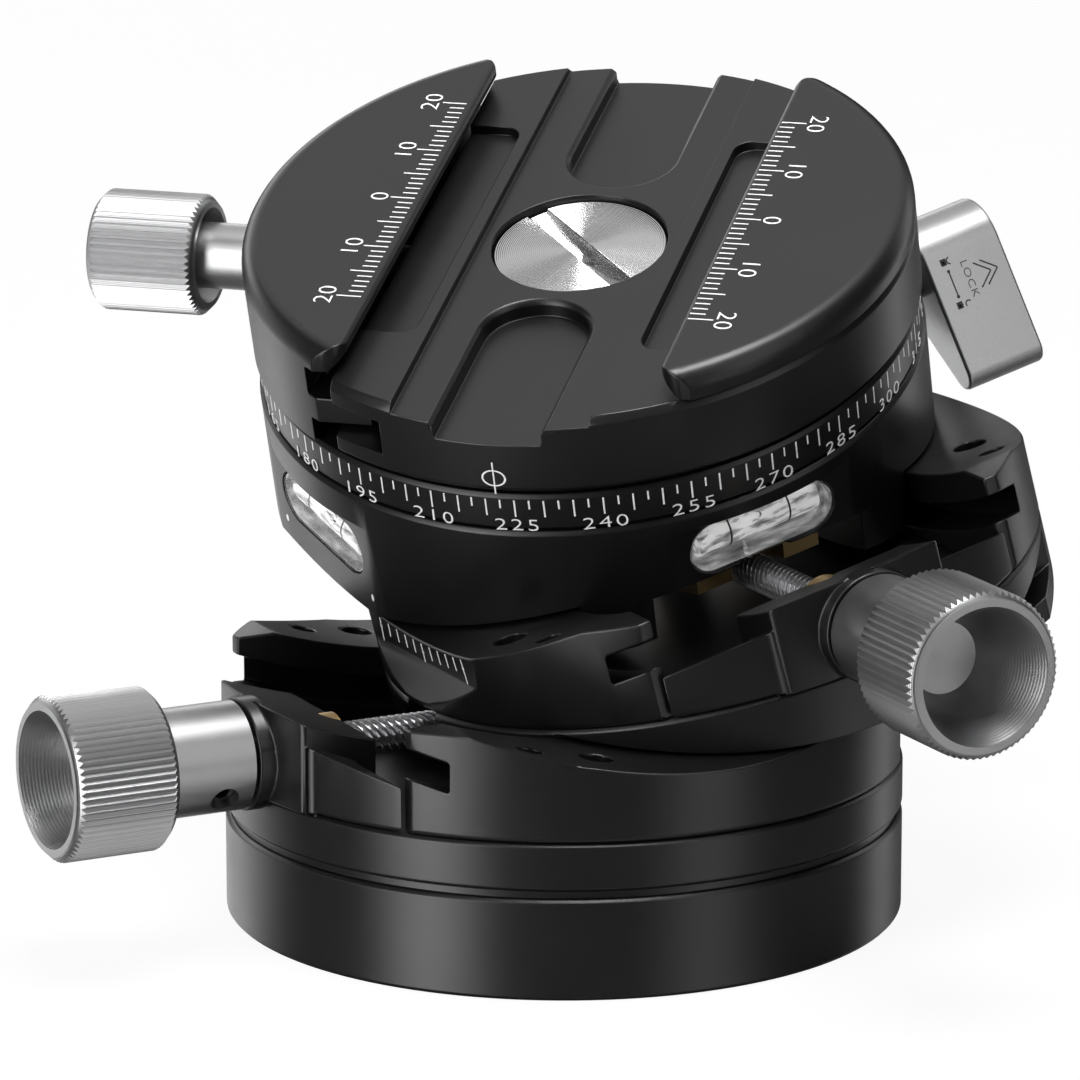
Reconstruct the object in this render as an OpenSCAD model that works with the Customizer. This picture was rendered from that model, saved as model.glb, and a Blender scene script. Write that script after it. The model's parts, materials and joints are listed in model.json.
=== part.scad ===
// Geared tripod head. Two crossed arc slides, each driven by a worm under a brass rack,
// carry a panning clamp for dovetail plates.
// Origin: centre of the underside of the base, +Z up, lower knob along -X, upper knob along -Y.

/* [Pose] */
// Tilt of the lower slide about its cross axis
lower_tilt = -15; // [-15:0.5:15]
// Tilt of the upper slide about its cross axis
upper_tilt = -15; // [-15:0.5:15]
// Turn of the clamp on its spindle
pan_turn = -46.2; // [-180:0.1:180]

/* [Base] */
// Outside diameter of the base, the stages and the clamp
body_d = 72; // [68:0.5:80]
// Height of the base disc
base_h = 10.8; // [9:0.1:16]
// Height of the shadow groove above the base disc
shadow_h = 0.8; // [0.4:0.1:2]
// Depth of the shadow groove
shadow_depth = 0.7; // [0.3:0.1:2]
// Thickness of the lower stage plate
stage_plate_h = 5.1; // [4.5:0.1:8]
// Chamfer on the turned edges
edge_chamfer = 0.4; // [0.2:0.05:0.8]
// Core diameter of the tripod thread
thread_core_d = 7.94; // [5:0.01:8.5]
// Outside diameter of the thread bush
bush_d = 14; // [12:0.5:18]
// Height of the thread bush
bush_h = 9; // [7:0.5:10]
// Radius of the circle of base screws
base_screw_ring = 24; // [20:0.5:30]
// Shank diameter of the base screws
base_screw_d = 4; // [3:0.1:5]
// Head diameter of the base screws
base_screw_head_d = 7.2; // [5:0.1:9]
// Head height of the base screws
base_screw_head_h = 3; // [2:0.1:4]

/* [Arc slide] */
// Height of the arc centre above its stage plate
arc_h = 81.6; // [78:0.1:86]
// Rise from the lower stage plate to the upper one
stage_rise = 13.8; // [13:0.1:18]
// Distance from the rail ends to the rim of the stage
rail_setback = 7.3; // [6:0.1:9]
// Inner face of a rail, from the middle plane
rail_in = 20.2; // [19.5:0.1:22]
// Height of the flat ends of a rail
rail_h = 10.9; // [10:0.1:12.5]
// Height of the rail lip at mid length
lip_h = 6.8; // [6.2:0.1:7.4]
// Height of the top of the groove at mid length
groove_top_h = 3.5; // [3.2:0.1:4]
// Height of the floor of the groove at mid length
groove_floor_h = 0.55; // [0.4:0.05:1]
// Outer wall of the groove, from the middle plane
groove_wall = 24.9; // [24:0.1:27]
// Clearance between a slider and its rails
slide_clear = 0.3; // [0.15:0.05:0.5]
// Inner face of the slider legs, from the middle plane
leg_in = 12.8; // [12:0.1:15]
// Half length of the slider legs
leg_half = 32.6; // [28:0.1:33.5]
// Height of the middle plate's underside between its legs, at mid length
mid_roof_h = 4.2; // [3.8:0.1:4.8]
// Height of the top body's underside between its legs, at mid length
top_roof_h = 5.6; // [4.8:0.1:6]
// Place of the rail screws along a rail
rail_screw_x = 10.9; // [8:0.1:13]
// Place of the rail screws across the stage
rail_screw_y = 28.4; // [27.6:0.1:30]
// Diameter of the rail screw heads
rail_screw_head_d = 3.4; // [2.5:0.1:4.5]
// Shank diameter of the rail screws
rail_screw_d = 2; // [1.5:0.1:2.5]
// Height of the rail screw heads' seat above the plate
rail_screw_seat = 2; // [1:0.1:3]
// Head height of the rail screws
rail_screw_head_h = 2; // [1:0.1:2.5]
// Place of the rail dowels along a rail
rail_dowel_x = 17.9; // [15:0.1:20]
// Place of the rail dowels across the stage
rail_dowel_y = 27.2; // [26.8:0.1:28]
// Diameter of the rail dowels
rail_dowel_d = 2.6; // [2:0.1:3]
// Height of the rail dowels above the plate
rail_dowel_h = 5; // [3:0.1:6]
// How deep screws and dowels go into a plate
rail_pin_depth = 3; // [2:0.1:4]
// Depth of the scale facet from the rim
facet_cut = 2.1; // [1:0.1:3]
// Height of the foot of the scale facet above the plate
facet_foot = 4.4; // [3.5:0.1:5]
// Height at which the slope under the facet meets the rim
facet_slope = 1; // [0.5:0.1:2]

/* [Worm drive] */
// Height of the worm axis above its stage plate
worm_h = 4.3; // [4.1:0.1:4.6]
// Outside diameter of the worm
worm_d = 3.8; // [3.4:0.1:4.2]
// Root diameter of the worm
worm_root_d = 2.9; // [2.6:0.1:3.1]
// Axial pitch of the worm
worm_pitch = 0.875; // [0.8:0.005:1]
// Number of starts of the worm
worm_starts = 8; // [6:1:9]
// Inner end of the worm thread
worm_inner_x = 7; // [6:0.5:10]
// Diameter of the worm shaft
shaft_d = 5; // [4.6:0.1:5.6]
// Diameter of the worm's end journal
journal_d = 2; // [1.6:0.1:2.4]
// Thickness of the post that holds the journal
post_l = 4; // [3:0.1:6]
// Half width of the post
post_half = 2.8; // [2.2:0.1:3]
// Width of a rack
rack_w = 15; // [12:0.1:20]
// Half length of a rack
rack_half = 32.5; // [30:0.5:33]
// Height of the top of a rack at mid length
rack_top_h = 9.1; // [8.5:0.1:9.6]
// Height of the rack cheeks' underside at mid length
cheek_h = 3.7; // [3.4:0.1:5]
// Half width of the arch between the rack cheeks
arch_half = 3.2; // [3.1:0.1:4]
// How deep the rack teeth reach into the worm
tooth_mesh = 0.3; // [0.2:0.05:0.35]
// Height of a rack tooth
tooth_h = 0.48; // [0.42:0.02:0.6]
// Width of a rack tooth at its tip
tooth_tip = 0.22; // [0.15:0.01:0.26]
// Width of a rack tooth at its root
tooth_root = 0.42; // [0.3:0.01:0.46]
// Half the number of rack teeth
tooth_side = 29; // [26:1:30]
// Plate left over the ends of the rack pocket
pocket_cover = 0.8; // [0.5:0.1:1.5]
// Sliding fit of shafts in their bores
run_fit = 0.05; // [0.02:0.01:0.1]

/* [Knob block] */
// Inner face of the block, from the rim inwards
block_depth = 9; // [8:0.1:10]
// How far the block's round face stands out of the rim
block_proud = 0.8; // [0.5:0.1:1.5]
// Half width of the block
block_half = 10.2; // [9.5:0.1:10.6]
// Rounding of the block's outer edges
block_round = 0.8; // [0.5:0.1:1.5]
// Fillet between the block and the rim of the stage
fillet_r = 1.2; // [0.8:0.1:1.6]
// Height of the block at its inner face
block_in_h = 7; // [6.7:0.1:7.1]
// Radius of the block's hollow top
block_top_r = 105; // [95:1:120]
// Depth of the tongues' arc top below the plate at mid length
tongue_sink = 0.6; // [0.4:0.1:1]
// Gap between the tongues and the rail ends
tongue_gap = 0.6; // [0.4:0.1:1]
// Diameter of the boss round the shaft
boss_d = 11.9; // [11:0.1:12.6]
// Reach of the boss beyond the rim
boss_reach = 2.15; // [2:0.05:4]
// Outside diameter of the shaft bush
shaft_bush_d = 6.2; // [5.9:0.1:6.6]

/* [Tilt knobs] */
// Gap between the boss and the knob stem
stem_gap = 0.4; // [0.3:0.1:1]
// Length of the knob stem
stem_l = 9.65; // [7:0.05:12]
// Diameter of the knob stem
stem_d = 11.5; // [10.5:0.1:13]
// Length of the knurled rim
rim_l = 11.5; // [9:0.1:15]
// Diameter of the knurled rim
rim_d = 17.4; // [16:0.1:20]
// Number of flutes on the rim
flutes = 72; // [48:2:84]
// Depth of a flute
flute_depth = 0.42; // [0.2:0.02:0.5]
// Chamfer on the knurled rim
rim_chamfer = 0.8; // [0.5:0.1:1.2]
// Diameter of the recess at the face
recess_d = 14.4; // [13:0.1:15]
// Diameter of the recess floor
recess_floor_d = 7.5; // [7:0.1:10]
// Depth of the recess
recess_l = 8.4; // [5:0.1:9]
// Diameter of the cross hole in the stem
grub_d = 3; // [2:0.1:3.5]
// Turn of the cross hole about the knob's axis
grub_turn = 215; // [0:5:355]
// Distance of the cross hole from the inner end of the stem
grub_x = 3.2; // [2.5:0.1:4.5]

/* [Top body] */
// Height of the top body above the upper stage plate
body_h = 22.8; // [22:0.1:26]
// Depth of the vial flats from the rim
flat_cut = 1.6; // [1:0.1:2.5]
// Height of the top edge of the left flat below the body's rim
left_flat_drop = 3.8; // [3:0.1:5]
// Height of the top edge of the front flat below the body's rim
front_flat_drop = 1.9; // [1.5:0.1:3]
// Length of a vial
vial_l = 17.6; // [15:0.1:19]
// Width of a vial
vial_w = 6.1; // [5:0.1:6.4]
// Depth of a vial
vial_t = 4.5; // [3:0.1:6]
// Depth of the left vial's middle below the body's rim
left_vial_drop = 8.6; // [8:0.1:10]
// Depth of the front vial's middle below the body's rim
front_vial_drop = 5.6; // [5.2:0.1:6.2]
// Height of the degree ring
ring_h = 4.4; // [3.5:0.1:6]
// Step of the degree ring behind the rim of the body
ring_step = 0.4; // [0.2:0.1:1]
// Inner diameter of the degree ring
ring_in_d = 56; // [50:0.5:60]
// Diameter of the panning spindle
spindle_d = 16; // [14:0.1:17]
// Depth of the spindle in the body
spindle_sink = 7.7; // [6:0.1:10]
// Thickness of the slip washer under the clamp
slip_t = 0.5; // [0.4:0.1:1]
// Inner diameter of the slip washer
slip_in_d = 30; // [20:0.5:40]
// Outer diameter of the slip washer
slip_out_d = 50; // [44:0.5:54]

/* [Clamp] */
// Gap between the degree ring and the clamp
clamp_gap = 0.3; // [0.2:0.05:0.8]
// Height of the outer lands above the clamp's underside
land_h = 9; // [8.5:0.1:10]
// Drop of the middle land below the outer lands
land_drop = 0.9; // [0.4:0.1:1.2]
// Half width of the middle land
land_half = 10.7; // [10:0.1:11.5]
// Height of the jaws above the outer lands
jaw_h = 3.3; // [3:0.1:5]
// Rounding of the jaws' outer edge
jaw_round = 2.2; // [1:0.1:2.6]
// Inner edge of a jaw, from the middle plane
jaw_edge = 17; // [16.4:0.1:19]
// Thickness of a jaw's lip at its edge
lip_t = 1.2; // [0.8:0.1:1.6]
// Half length of the jaws
jaw_half = 29.6; // [26:0.1:31]
// Rounding of the jaws' inner corners, seen from above
jaw_corner = 2.5; // [1:0.1:3]
// Rounding of the top of a jaw's edge
jaw_edge_round = 0.8; // [0.4:0.1:1]
// Chamfer on the turned edges of the clamp
clamp_chamfer = 0.8; // [0.4:0.1:1]
// Chamfer along the relief slots
relief_chamfer = 0.5; // [0.2:0.1:0.8]
// Half width of the relief slots
relief_half = 5.8; // [5:0.1:6.5]
// Distance of the relief slots' round ends from the axis
relief_end = 11.6; // [11:0.1:14]
// Depth of the relief slots below the outer lands
relief_depth = 2.8; // [2:0.1:3.2]
// Inner edge of the side pockets
pocket_in = 12.2; // [11.9:0.1:13]
// Rounding of the side pockets' corners
pocket_round = 2; // [1:0.1:2.8]
// Half length of the side pockets
pocket_half = 20.6; // [18:0.1:23]
// Depth of the side pockets
pocket_depth = 1.1; // [0.6:0.1:1.5]
// Diameter of the middle screw's head
screw_head_d = 18.6; // [18:0.1:19]
// Height of the middle screw's head
screw_head_h = 2.9; // [2.4:0.1:3.2]
// Depth of the head below the middle land
screw_head_sink = 0.7; // [0.3:0.1:1]
// Clearance round the middle screw's head
screw_head_clear = 0.2; // [0.15:0.05:0.5]
// Width of the driver slot
driver_slot_w = 2.3; // [1.5:0.1:2.5]
// Depth of the driver slot in the middle
driver_slot_depth = 1.9; // [1.6:0.1:2.2]
// Radius of the driver slot's floor
driver_slot_r = 28; // [27:1:40]
// Turn of the driver slot
driver_slot_turn = 90; // [0:1:180]

/* [Moving jaw] */
// Inner wall of the moving jaw's heel, from the axis
heel_x = 21.6; // [21.2:0.1:23]
// Outer faces of the clamp base beside the heel, from the axis
base_edge_x = 18.3; // [17.8:0.1:19]
// Bottom of the tongue slot, from the axis
slot_x = 12.3; // [12:0.1:13]
// Tip of the tongue, from the axis
tongue_x = 14.6; // [14.4:0.1:15.4]
// Height of the tongue slot's floor above the clamp's underside
slot_z = 2.5; // [2:0.1:3]
// Height of the tongue slot
slot_h = 4; // [3.5:0.1:4.3]
// Height of the tongue
tongue_h = 3; // [2.6:0.1:3.2]
// Half width of the solid middle of the clamp base beside the heel
screw_land_half = 8; // [7:0.1:9]
// Clearance of the moving jaw
jaw_clear = 0.3; // [0.2:0.05:0.5]
// Height of the clamp screw's axis above the clamp's underside
clamp_screw_z = 3.4; // [3.2:0.1:3.8]
// Diameter of the clamp screw
clamp_screw_d = 5; // [4:0.1:5.4]
// Inner end of the clamp screw, from the axis
clamp_screw_x = 12.8; // [12.6:0.1:14]
// Bottom of the clamp screw's bore, from the axis
clamp_bore_x = 10.4; // [10.2:0.1:11]
// Place of the guide pins along the jaw
guide_y = 15; // [13:0.5:17]
// Diameter of the guide pins
guide_d = 2; // [1.5:0.1:2.4]
// Inner end of the guide pins, from the axis
guide_x = 8; // [6:0.5:10]
// How far the guide pins go into the heel
guide_hold = 4; // [3:0.5:6]
// Spare travel past the pins' inner end
guide_travel = 3; // [2.5:0.1:4]
// Depth of the spot face for the clamp knob's stem
spot_depth = 0.8; // [0.5:0.1:1.5]
// Length of the clamp knob's stem outside the rim
clamp_stem_l = 6.3; // [4:0.1:9]
// Diameter of the clamp knob's stem
clamp_stem_d = 7.2; // [6:0.1:8]
// Length of the clamp knob's rim
clamp_rim_l = 12.3; // [9:0.1:15]
// Diameter of the clamp knob's rim
clamp_rim_d = 13.2; // [12:0.1:15]
// Number of flutes on the clamp knob
clamp_flutes = 54; // [40:2:64]
// Diameter of the recess in the clamp knob's faces
clamp_recess_d = 10.4; // [9:0.1:11]
// Depth of the recess in the clamp knob's faces
clamp_recess_l = 2.5; // [1:0.1:4]

/* [Lock lever] */
// Depth of the lever's axis below the body's rim
lever_drop = 6.9; // [6.5:0.1:8]
// Gap between the rim and the lever's inner face
lever_gap = 3.6; // [2:0.1:5]
// Width of the lever along its axis
lever_w = 9.7; // [8:0.1:12]
// Radius of the lever's hub
hub_r = 5; // [4:0.1:5.5]
// Radius of the lever's tip
tip_r = 1.8; // [1.2:0.1:2.4]
// Length of the lever's flat face
lever_l = 12.9; // [10:0.1:18]
// Lean of the lever from hanging straight down
lever_lean = 35; // [0:1:60]
// Diameter of the lever's shaft
lever_shaft_d = 4; // [3:0.1:5]
// Diameter of the collar between body and lever
lever_collar_d = 7; // [6:0.1:8]
// Length of the brake shoe
shoe_l = 5; // [4:0.1:7]
// Gap between the brake shoe and the lever's shaft
shoe_gap = 1; // [0.5:0.1:2]

/* [Hidden] */
$fn = 96;
eps = 0.01;
far = 200;
stem_root = 1;
turn_slices = 16;
face_steps = 10;
round_steps = 5;
body_r = body_d / 2;
stage_z = base_h + shadow_h + stage_plate_h;
mid_z = stage_z + stage_rise;
rim_z = mid_z + body_h;
lower_arc_z = stage_z + arc_h;
upper_arc_z = mid_z + arc_h;
rail_half = body_r - rail_setback;
lip_r = arc_h - lip_h;
groove_in_r = arc_h - groove_top_h;
groove_out_r = arc_h - groove_floor_h;
worm_lead = worm_pitch * worm_starts;
tooth_tip_r = arc_h - worm_h - worm_d / 2 + tooth_mesh;
tooth_root_r = tooth_tip_r - tooth_h;
pitch_r = tooth_tip_r - tooth_mesh;
gear_ratio = 2 * PI * pitch_r / worm_lead;
pitch_angle = worm_pitch / pitch_r * 180 / PI;
helix = atan(worm_lead / (PI * worm_d));
rack_r = arc_h - rack_top_h;
cheek_r = arc_h - cheek_h;
facet_y = body_r - facet_cut;
flat_r = body_r - flat_cut;
block_r = body_r + block_proud;
block_in = body_r - block_depth;
worm_outer_x = block_in - eps;
block_top_z = block_in_h + sqrt(pow(block_top_r, 2) - pow(block_in, 2));
boss_out = body_r + boss_reach;
stem_in = boss_out + stem_gap;
stem_out = stem_in + stem_l;
knob_face = stem_out + rim_l;
ring_r = body_r - ring_step;
ring_z = rim_z + ring_h;
clamp_z = ring_z + clamp_gap;
land_z = clamp_z + land_h;
mid_land_z = land_z - land_drop;
jaw_z = land_z + jaw_h;
jaw_foot = jaw_edge + jaw_h - lip_t;
head_top_z = mid_land_z - screw_head_sink;
head_seat_z = head_top_z - screw_head_h;
mid_cover_z = stage_rise - pocket_cover;
top_cover_z = body_h - front_vial_drop - vial_w / 2 - pocket_cover;
lever_z = rim_z - lever_drop;
lever_in = body_r + lever_gap;

black = "#1b1b1d";
silver = "#b9bbbd";
steel = "#cfd2d4";
brass = "#b8864a";
clear_vial = "#dfe6e4";

// Frames: each stage stands on its plate with its knob along -X and its rails along X

module lower_stage() {
    translate([0, 0, stage_z]) children();
}

module middle() {
    translate([0, 0, lower_arc_z]) rotate([0, lower_tilt, 0]) translate([0, 0, -lower_arc_z]) children();
}

module upper_stage() {
    middle() translate([0, 0, mid_z]) rotate([0, 0, 90]) children();
}

module top() {
    middle() translate([0, 0, upper_arc_z]) rotate([-upper_tilt, 0, 0])
        translate([0, 0, -upper_arc_z]) children();
}

module clamp() {
    top() rotate([0, 0, pan_turn]) children();
}

// Shared shapes

module turned_disc(r, h, c = edge_chamfer) {
    rotate_extrude() polygon([[0, 0], [r - c, 0], [r, c], [r, h - c], [r - c, h], [0, h]]);
}

module arc_cylinder(r) {
    translate([0, 0, arc_h]) rotate([90, 0, 0]) cylinder(r = r, h = far, center = true, $fn = 360);
}

module arc_band(r_in, r_out, y0, y1) {
    translate([0, 0, arc_h]) rotate([-90, 0, 0]) rotate_extrude($fn = 360)
        translate([r_in, y0]) square([r_out - r_in, y1 - y0]);
}

module x_rod(d, x0, x1) {
    translate([x0, 0, 0]) rotate([0, 90, 0]) cylinder(d = d, h = x1 - x0);
}

module rounded_disc(r, h, f) {
    cylinder(r = r, h = h - f);
    cylinder(r = r - f, h = h);
    translate([0, 0, h - f]) rotate_extrude() translate([r - f, 0]) circle(f);
}

module stadium(l, w, h) {
    translate([-(l - w) / 2, -w / 2, 0]) cube([l - w, w, h]);
    for (s = [-1, 1]) translate([s * (l - w) / 2, 0, 0]) cylinder(d = w, h = h);
}

module four_corners(x, y) {
    for (sx = [-1, 1], sy = [-1, 1]) translate([sx * x, sy * y, 0]) children();
}

// One arc stage, in its own frame

module rail(side) {
    difference() {
        intersection() {
            turned_disc(body_r, far);
            translate([-rail_half, side > 0 ? rail_in : -rail_in - far, 0])
                cube([2 * rail_half, far, rail_h]);
        }
        arc_cylinder(lip_r);
        arc_band(groove_in_r, groove_out_r, -groove_wall, groove_wall);
        four_corners(rail_screw_x, rail_screw_y) rail_screw_hole();
        four_corners(rail_dowel_x, rail_dowel_y) translate([0, 0, -eps])
            cylinder(d = rail_dowel_d + 2 * run_fit, h = rail_h);
        if (side > 0) scale_facet();
    }
}

module rail_screw_hole() {
    translate([0, 0, -eps]) cylinder(d = rail_screw_d + 2 * run_fit, h = rail_h);
    translate([0, 0, rail_screw_seat]) cylinder(d = rail_screw_head_d + 2 * run_fit, h = rail_h);
}

module scale_facet() {
    out = body_r + 1;
    foot = facet_foot + (facet_y - out) * (facet_foot - facet_slope) / (body_r - facet_y);
    translate([-far / 2, 0, 0]) rotate([90, 0, 90]) linear_extrude(far)
        polygon([[facet_y, facet_foot], [out, foot], [out, rail_h + 1], [facet_y, rail_h + 1]]);
}

module rail_screws() {
    four_corners(rail_screw_x, rail_screw_y) {
        translate([0, 0, -rail_pin_depth]) cylinder(d = rail_screw_d, h = rail_pin_depth + rail_screw_seat + eps);
        translate([0, 0, rail_screw_seat]) cylinder(d = rail_screw_head_d, h = rail_screw_head_h);
    }
}

module rail_dowels() {
    four_corners(rail_dowel_x, rail_dowel_y) translate([0, 0, -rail_pin_depth])
        cylinder(d = rail_dowel_d, h = rail_pin_depth + rail_dowel_h);
}

module plate_holes() {
    translate([0, 0, -rail_pin_depth]) {
        four_corners(rail_screw_x, rail_screw_y) cylinder(d = rail_screw_d + 2 * run_fit, h = far);
        four_corners(rail_dowel_x, rail_dowel_y) cylinder(d = rail_dowel_d + 2 * run_fit, h = far);
    }
}

module knob_block() {
    block_room = 2 * rail_h;
    edge_r = block_r - block_round;
    edge_a = asin((block_half - block_round) / edge_r);
    edge = edge_r * [-cos(edge_a), sin(edge_a)];
    difference() {
        union() {
            difference() {
                union() {
                    intersection() {
                        turned_disc(body_r, block_room);
                        translate([-far - rail_half - tongue_gap, -far / 2, 0]) cube([far, far, far]);
                    }
                    for (s = [0, 1]) mirror([0, s, 0]) block_fillet(edge, edge_r, edge_a, block_room);
                }
                arc_cylinder(arc_h + tongue_sink);
            }
            difference() {
                block_plan(edge, edge_a, block_room);
                translate([0, 0, block_top_z]) rotate([90, 0, 0])
                    cylinder(r = block_top_r, h = far, center = true, $fn = 360);
            }
            difference() {
                translate([0, 0, worm_h]) x_rod(boss_d, -boss_out, 1 - block_r);
                translate([0, 0, -far]) cylinder(r = body_r + slide_clear, h = far);
            }
        }
        translate([0, 0, worm_h]) x_rod(shaft_bush_d + 2 * run_fit, -far, 0);
    }
}

// Straight sides and a face round the stage's axis, joined by rounded edges
module block_plan(edge, edge_a, h) {
    step = edge_a / face_steps;
    linear_extrude(h) polygon(concat(
        [[-block_in, block_half]],
        arc_points(edge, block_round, 90, 180 - edge_a, round_steps),
        arc_points([0, 0], block_r, 180 - edge_a + step, 180 + edge_a - step, 2 * face_steps - 2),
        arc_points([edge[0], -edge[1]], block_round, 180 + edge_a, 270, round_steps),
        [[-block_in, -block_half]]));
}

// Fillet that leads from a rounded edge of the block into the rim of the stage
module block_fillet(edge, edge_r, edge_a, h) {
    r = body_r + fillet_r;
    reach = block_round + fillet_r;
    a = edge_a + acos((edge_r * edge_r + r * r - reach * reach) / (2 * edge_r * r));
    middle = r * [-cos(a), sin(a)];
    to_edge = atan2(edge[1] - middle[1], edge[0] - middle[0]);
    inner = block_in / body_r;
    linear_extrude(h) polygon(concat([inner * edge, edge],
        arc_points(middle, fillet_r, to_edge, -a, round_steps), [inner * middle]));
}

function arc_points(middle, r, a0, a1, n) =
    [for (i = [0:n]) let (a = a0 + (a1 - a0) * i / n) middle + r * [cos(a), sin(a)]];

module shaft_bush() {
    translate([0, 0, worm_h]) difference() {
        x_rod(shaft_bush_d, -boss_out, -block_in);
        x_rod(shaft_d + 2 * run_fit, -far, 0);
    }
}

module worm_post() {
    difference() {
        translate([worm_inner_x + slide_clear, -post_half, 0])
            cube([post_l, 2 * post_half, worm_h + (worm_d - 2 * tooth_mesh) / 2]);
        translate([0, 0, worm_h]) x_rod(journal_d + 2 * run_fit, 0, far);
    }
}

module worm(turn) {
    translate([0, 0, worm_h]) rotate([turn, 0, 0]) {
        translate([-worm_outer_x, 0, 0]) rotate([0, 90, 0]) rotate([0, 0, -worm_outer_x * 360 / worm_lead])
            worm_thread(worm_outer_x + worm_inner_x);
        x_rod(shaft_d, -stem_out, -worm_outer_x);
        x_rod(journal_d, worm_inner_x - 1, worm_inner_x + slide_clear + post_l);
    }
}

// Star of as many teeth as the worm has starts, a gap on top at mid length
module worm_thread(l) {
    step = 360 / worm_starts;
    tip_half = step * tooth_tip / worm_pitch / 2;
    root_half = step * tooth_root / worm_pitch / 2;
    linear_extrude(height = l, twist = -l * 360 / worm_lead, slices = ceil(l / worm_lead * turn_slices), $fn = 4)
        polygon([for (i = [0:worm_starts - 1], p = [[-root_half, worm_root_d], [-tip_half, worm_d],
            [tip_half, worm_d], [root_half, worm_root_d]])
            let (a = 180 + (i + 0.5) * step + p[0]) p[1] / 2 * [cos(a), sin(a)]]);
}

module tilt_knob() {
    translate([0, 0, worm_h]) difference() {
        union() {
            x_rod(stem_d, -stem_out - stem_root, -stem_in);
            translate([-stem_out, 0, 0]) rotate([0, -90, 0])
                knurled_rim(rim_d, rim_l, flutes, recess_d, recess_floor_d, recess_l);
        }
        x_rod(shaft_d + 2 * run_fit, -stem_out - run_fit, 0);
        grub_place() cylinder(d = grub_d + 2 * run_fit, h = far);
    }
}

module grub_place() {
    translate([-stem_in - grub_x, 0, 0]) rotate([grub_turn, 0, 0]) rotate([-90, 0, 0]) children();
}

module grub_screw() {
    translate([0, 0, worm_h]) grub_place() translate([0, 0, shaft_d / 2 + run_fit])
        cylinder(d = grub_d, h = stem_d / 2 - shaft_d / 2 - 1);
}

module knurled_rim(d, l, n, face_d, floor_d, depth) {
    difference() {
        intersection() {
            linear_extrude(l) fluted_outline(d, n);
            rotate_extrude()
                polygon([[0, 0], [d / 2 - rim_chamfer, 0], [d / 2 + 1, rim_chamfer + 1],
                    [d / 2 + 1, l - rim_chamfer - 1], [d / 2 - rim_chamfer, l], [0, l]]);
        }
        translate([0, 0, l - depth]) cylinder(d1 = floor_d, d2 = face_d, h = depth + eps);
    }
}

module fluted_outline(d, n) {
    polygon([for (i = [0:n - 1], k = [0, 1])
        let (a = (i + k / 2) * 360 / n, r = d / 2 - k * flute_depth) r * [cos(a), sin(a)]]);
}

// A slider in the frame of the stage that carries it: a plate or body with two flanged legs

module slider_form(roof_h, top_h) {
    intersection() {
        translate([0, 0, -far]) turned_disc(body_r, far + top_h);
        translate([0, 0, arc_h]) rotate([-90, 0, 0]) rotate_extrude($fn = 360) slider_profile(arc_h - roof_h);
    }
}

module slider_profile(roof_r) {
    under = lip_r - slide_clear;
    flange_in = groove_in_r + slide_clear;
    flange_out = groove_out_r - slide_clear;
    neck = rail_in - slide_clear;
    flange = groove_wall - slide_clear;
    translate([0, -far / 2]) square([under, far]);
    translate([0, -neck]) square([roof_r, 2 * neck]);
    for (s = [-1, 1]) {
        translate([0, s > 0 ? leg_in : -neck]) square([flange_out, neck - leg_in]);
        translate([flange_in, s > 0 ? leg_in : -flange]) square([flange_out - flange_in, flange - leg_in]);
    }
}

module slider_cuts(roof_h, cover_z) {
    difference() {
        for (s = [0, 1]) mirror([s, 0, 0]) translate([leg_half, -far / 2, -far / 2]) cube([far, far, far]);
        arc_cylinder(arc_h - roof_h);
    }
    arc_band(tooth_root_r - slide_clear, far, -arch_half, arch_half);
    rack_space(rack_half, rack_w / 2, cover_z) arc_band(rack_r, far, -far / 2, far / 2);
}

module rack_space(half_l, half_w, cover_z) {
    intersection() {
        translate([-half_l, -half_w, -far]) cube([2 * half_l, 2 * half_w, far + cover_z]);
        children();
    }
}

module rack(cover_z) {
    rack_space(rack_half - run_fit, rack_w / 2 - run_fit, cover_z - run_fit) {
        union() {
            arc_band(rack_r + run_fit, tooth_root_r, -rack_w, rack_w);
            for (s = [-1, 1]) arc_band(rack_r + run_fit, cheek_r, s > 0 ? arch_half : -rack_w, s > 0 ? rack_w : -arch_half);
        }
    }
    for (i = [-tooth_side:tooth_side]) translate([0, 0, arc_h]) rotate([0, i * pitch_angle, 0])
        translate([0, 0, -tooth_tip_r]) rotate([0, 0, helix]) rack_tooth();
}

module rack_tooth() {
    rotate([90, 0, 0]) linear_extrude(2 * arch_half - 2 * slide_clear, center = true)
        polygon([[-tooth_tip / 2, 0], [tooth_tip / 2, 0], [tooth_root / 2, tooth_h], [tooth_root / 2, tooth_h + eps],
            [-tooth_root / 2, tooth_h + eps], [-tooth_root / 2, tooth_h]]);
}

// Base

module base_plate() {
    color(black) difference() {
        union() {
            turned_disc(body_r, base_h);
            cylinder(r = body_r - shadow_depth, h = base_h + shadow_h);
        }
        translate([0, 0, -eps]) cylinder(d = bush_d + 2 * run_fit, h = bush_h + run_fit + eps);
        base_screw_forms(run_fit);
    }
}

module tripod_bush() {
    color(steel) difference() {
        cylinder(d = bush_d, h = bush_h);
        translate([0, 0, -1]) cylinder(d = thread_core_d, h = bush_h + 2);
    }
}

module base_screw_forms(extra) {
    for (a = [45:90:315]) rotate([0, 0, a]) translate([base_screw_ring, 0, 0]) {
        translate([0, 0, -eps]) cylinder(d = base_screw_head_d + 2 * extra, h = 1 + base_screw_head_h + eps);
        cylinder(d = base_screw_d + 2 * extra, h = base_h + shadow_h + stage_plate_h - 1 + extra);
    }
}

module base_screws() {
    color(steel) difference() {
        base_screw_forms(0);
        translate([0, 0, -1]) cylinder(r = body_r, h = 2);
    }
}

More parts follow.
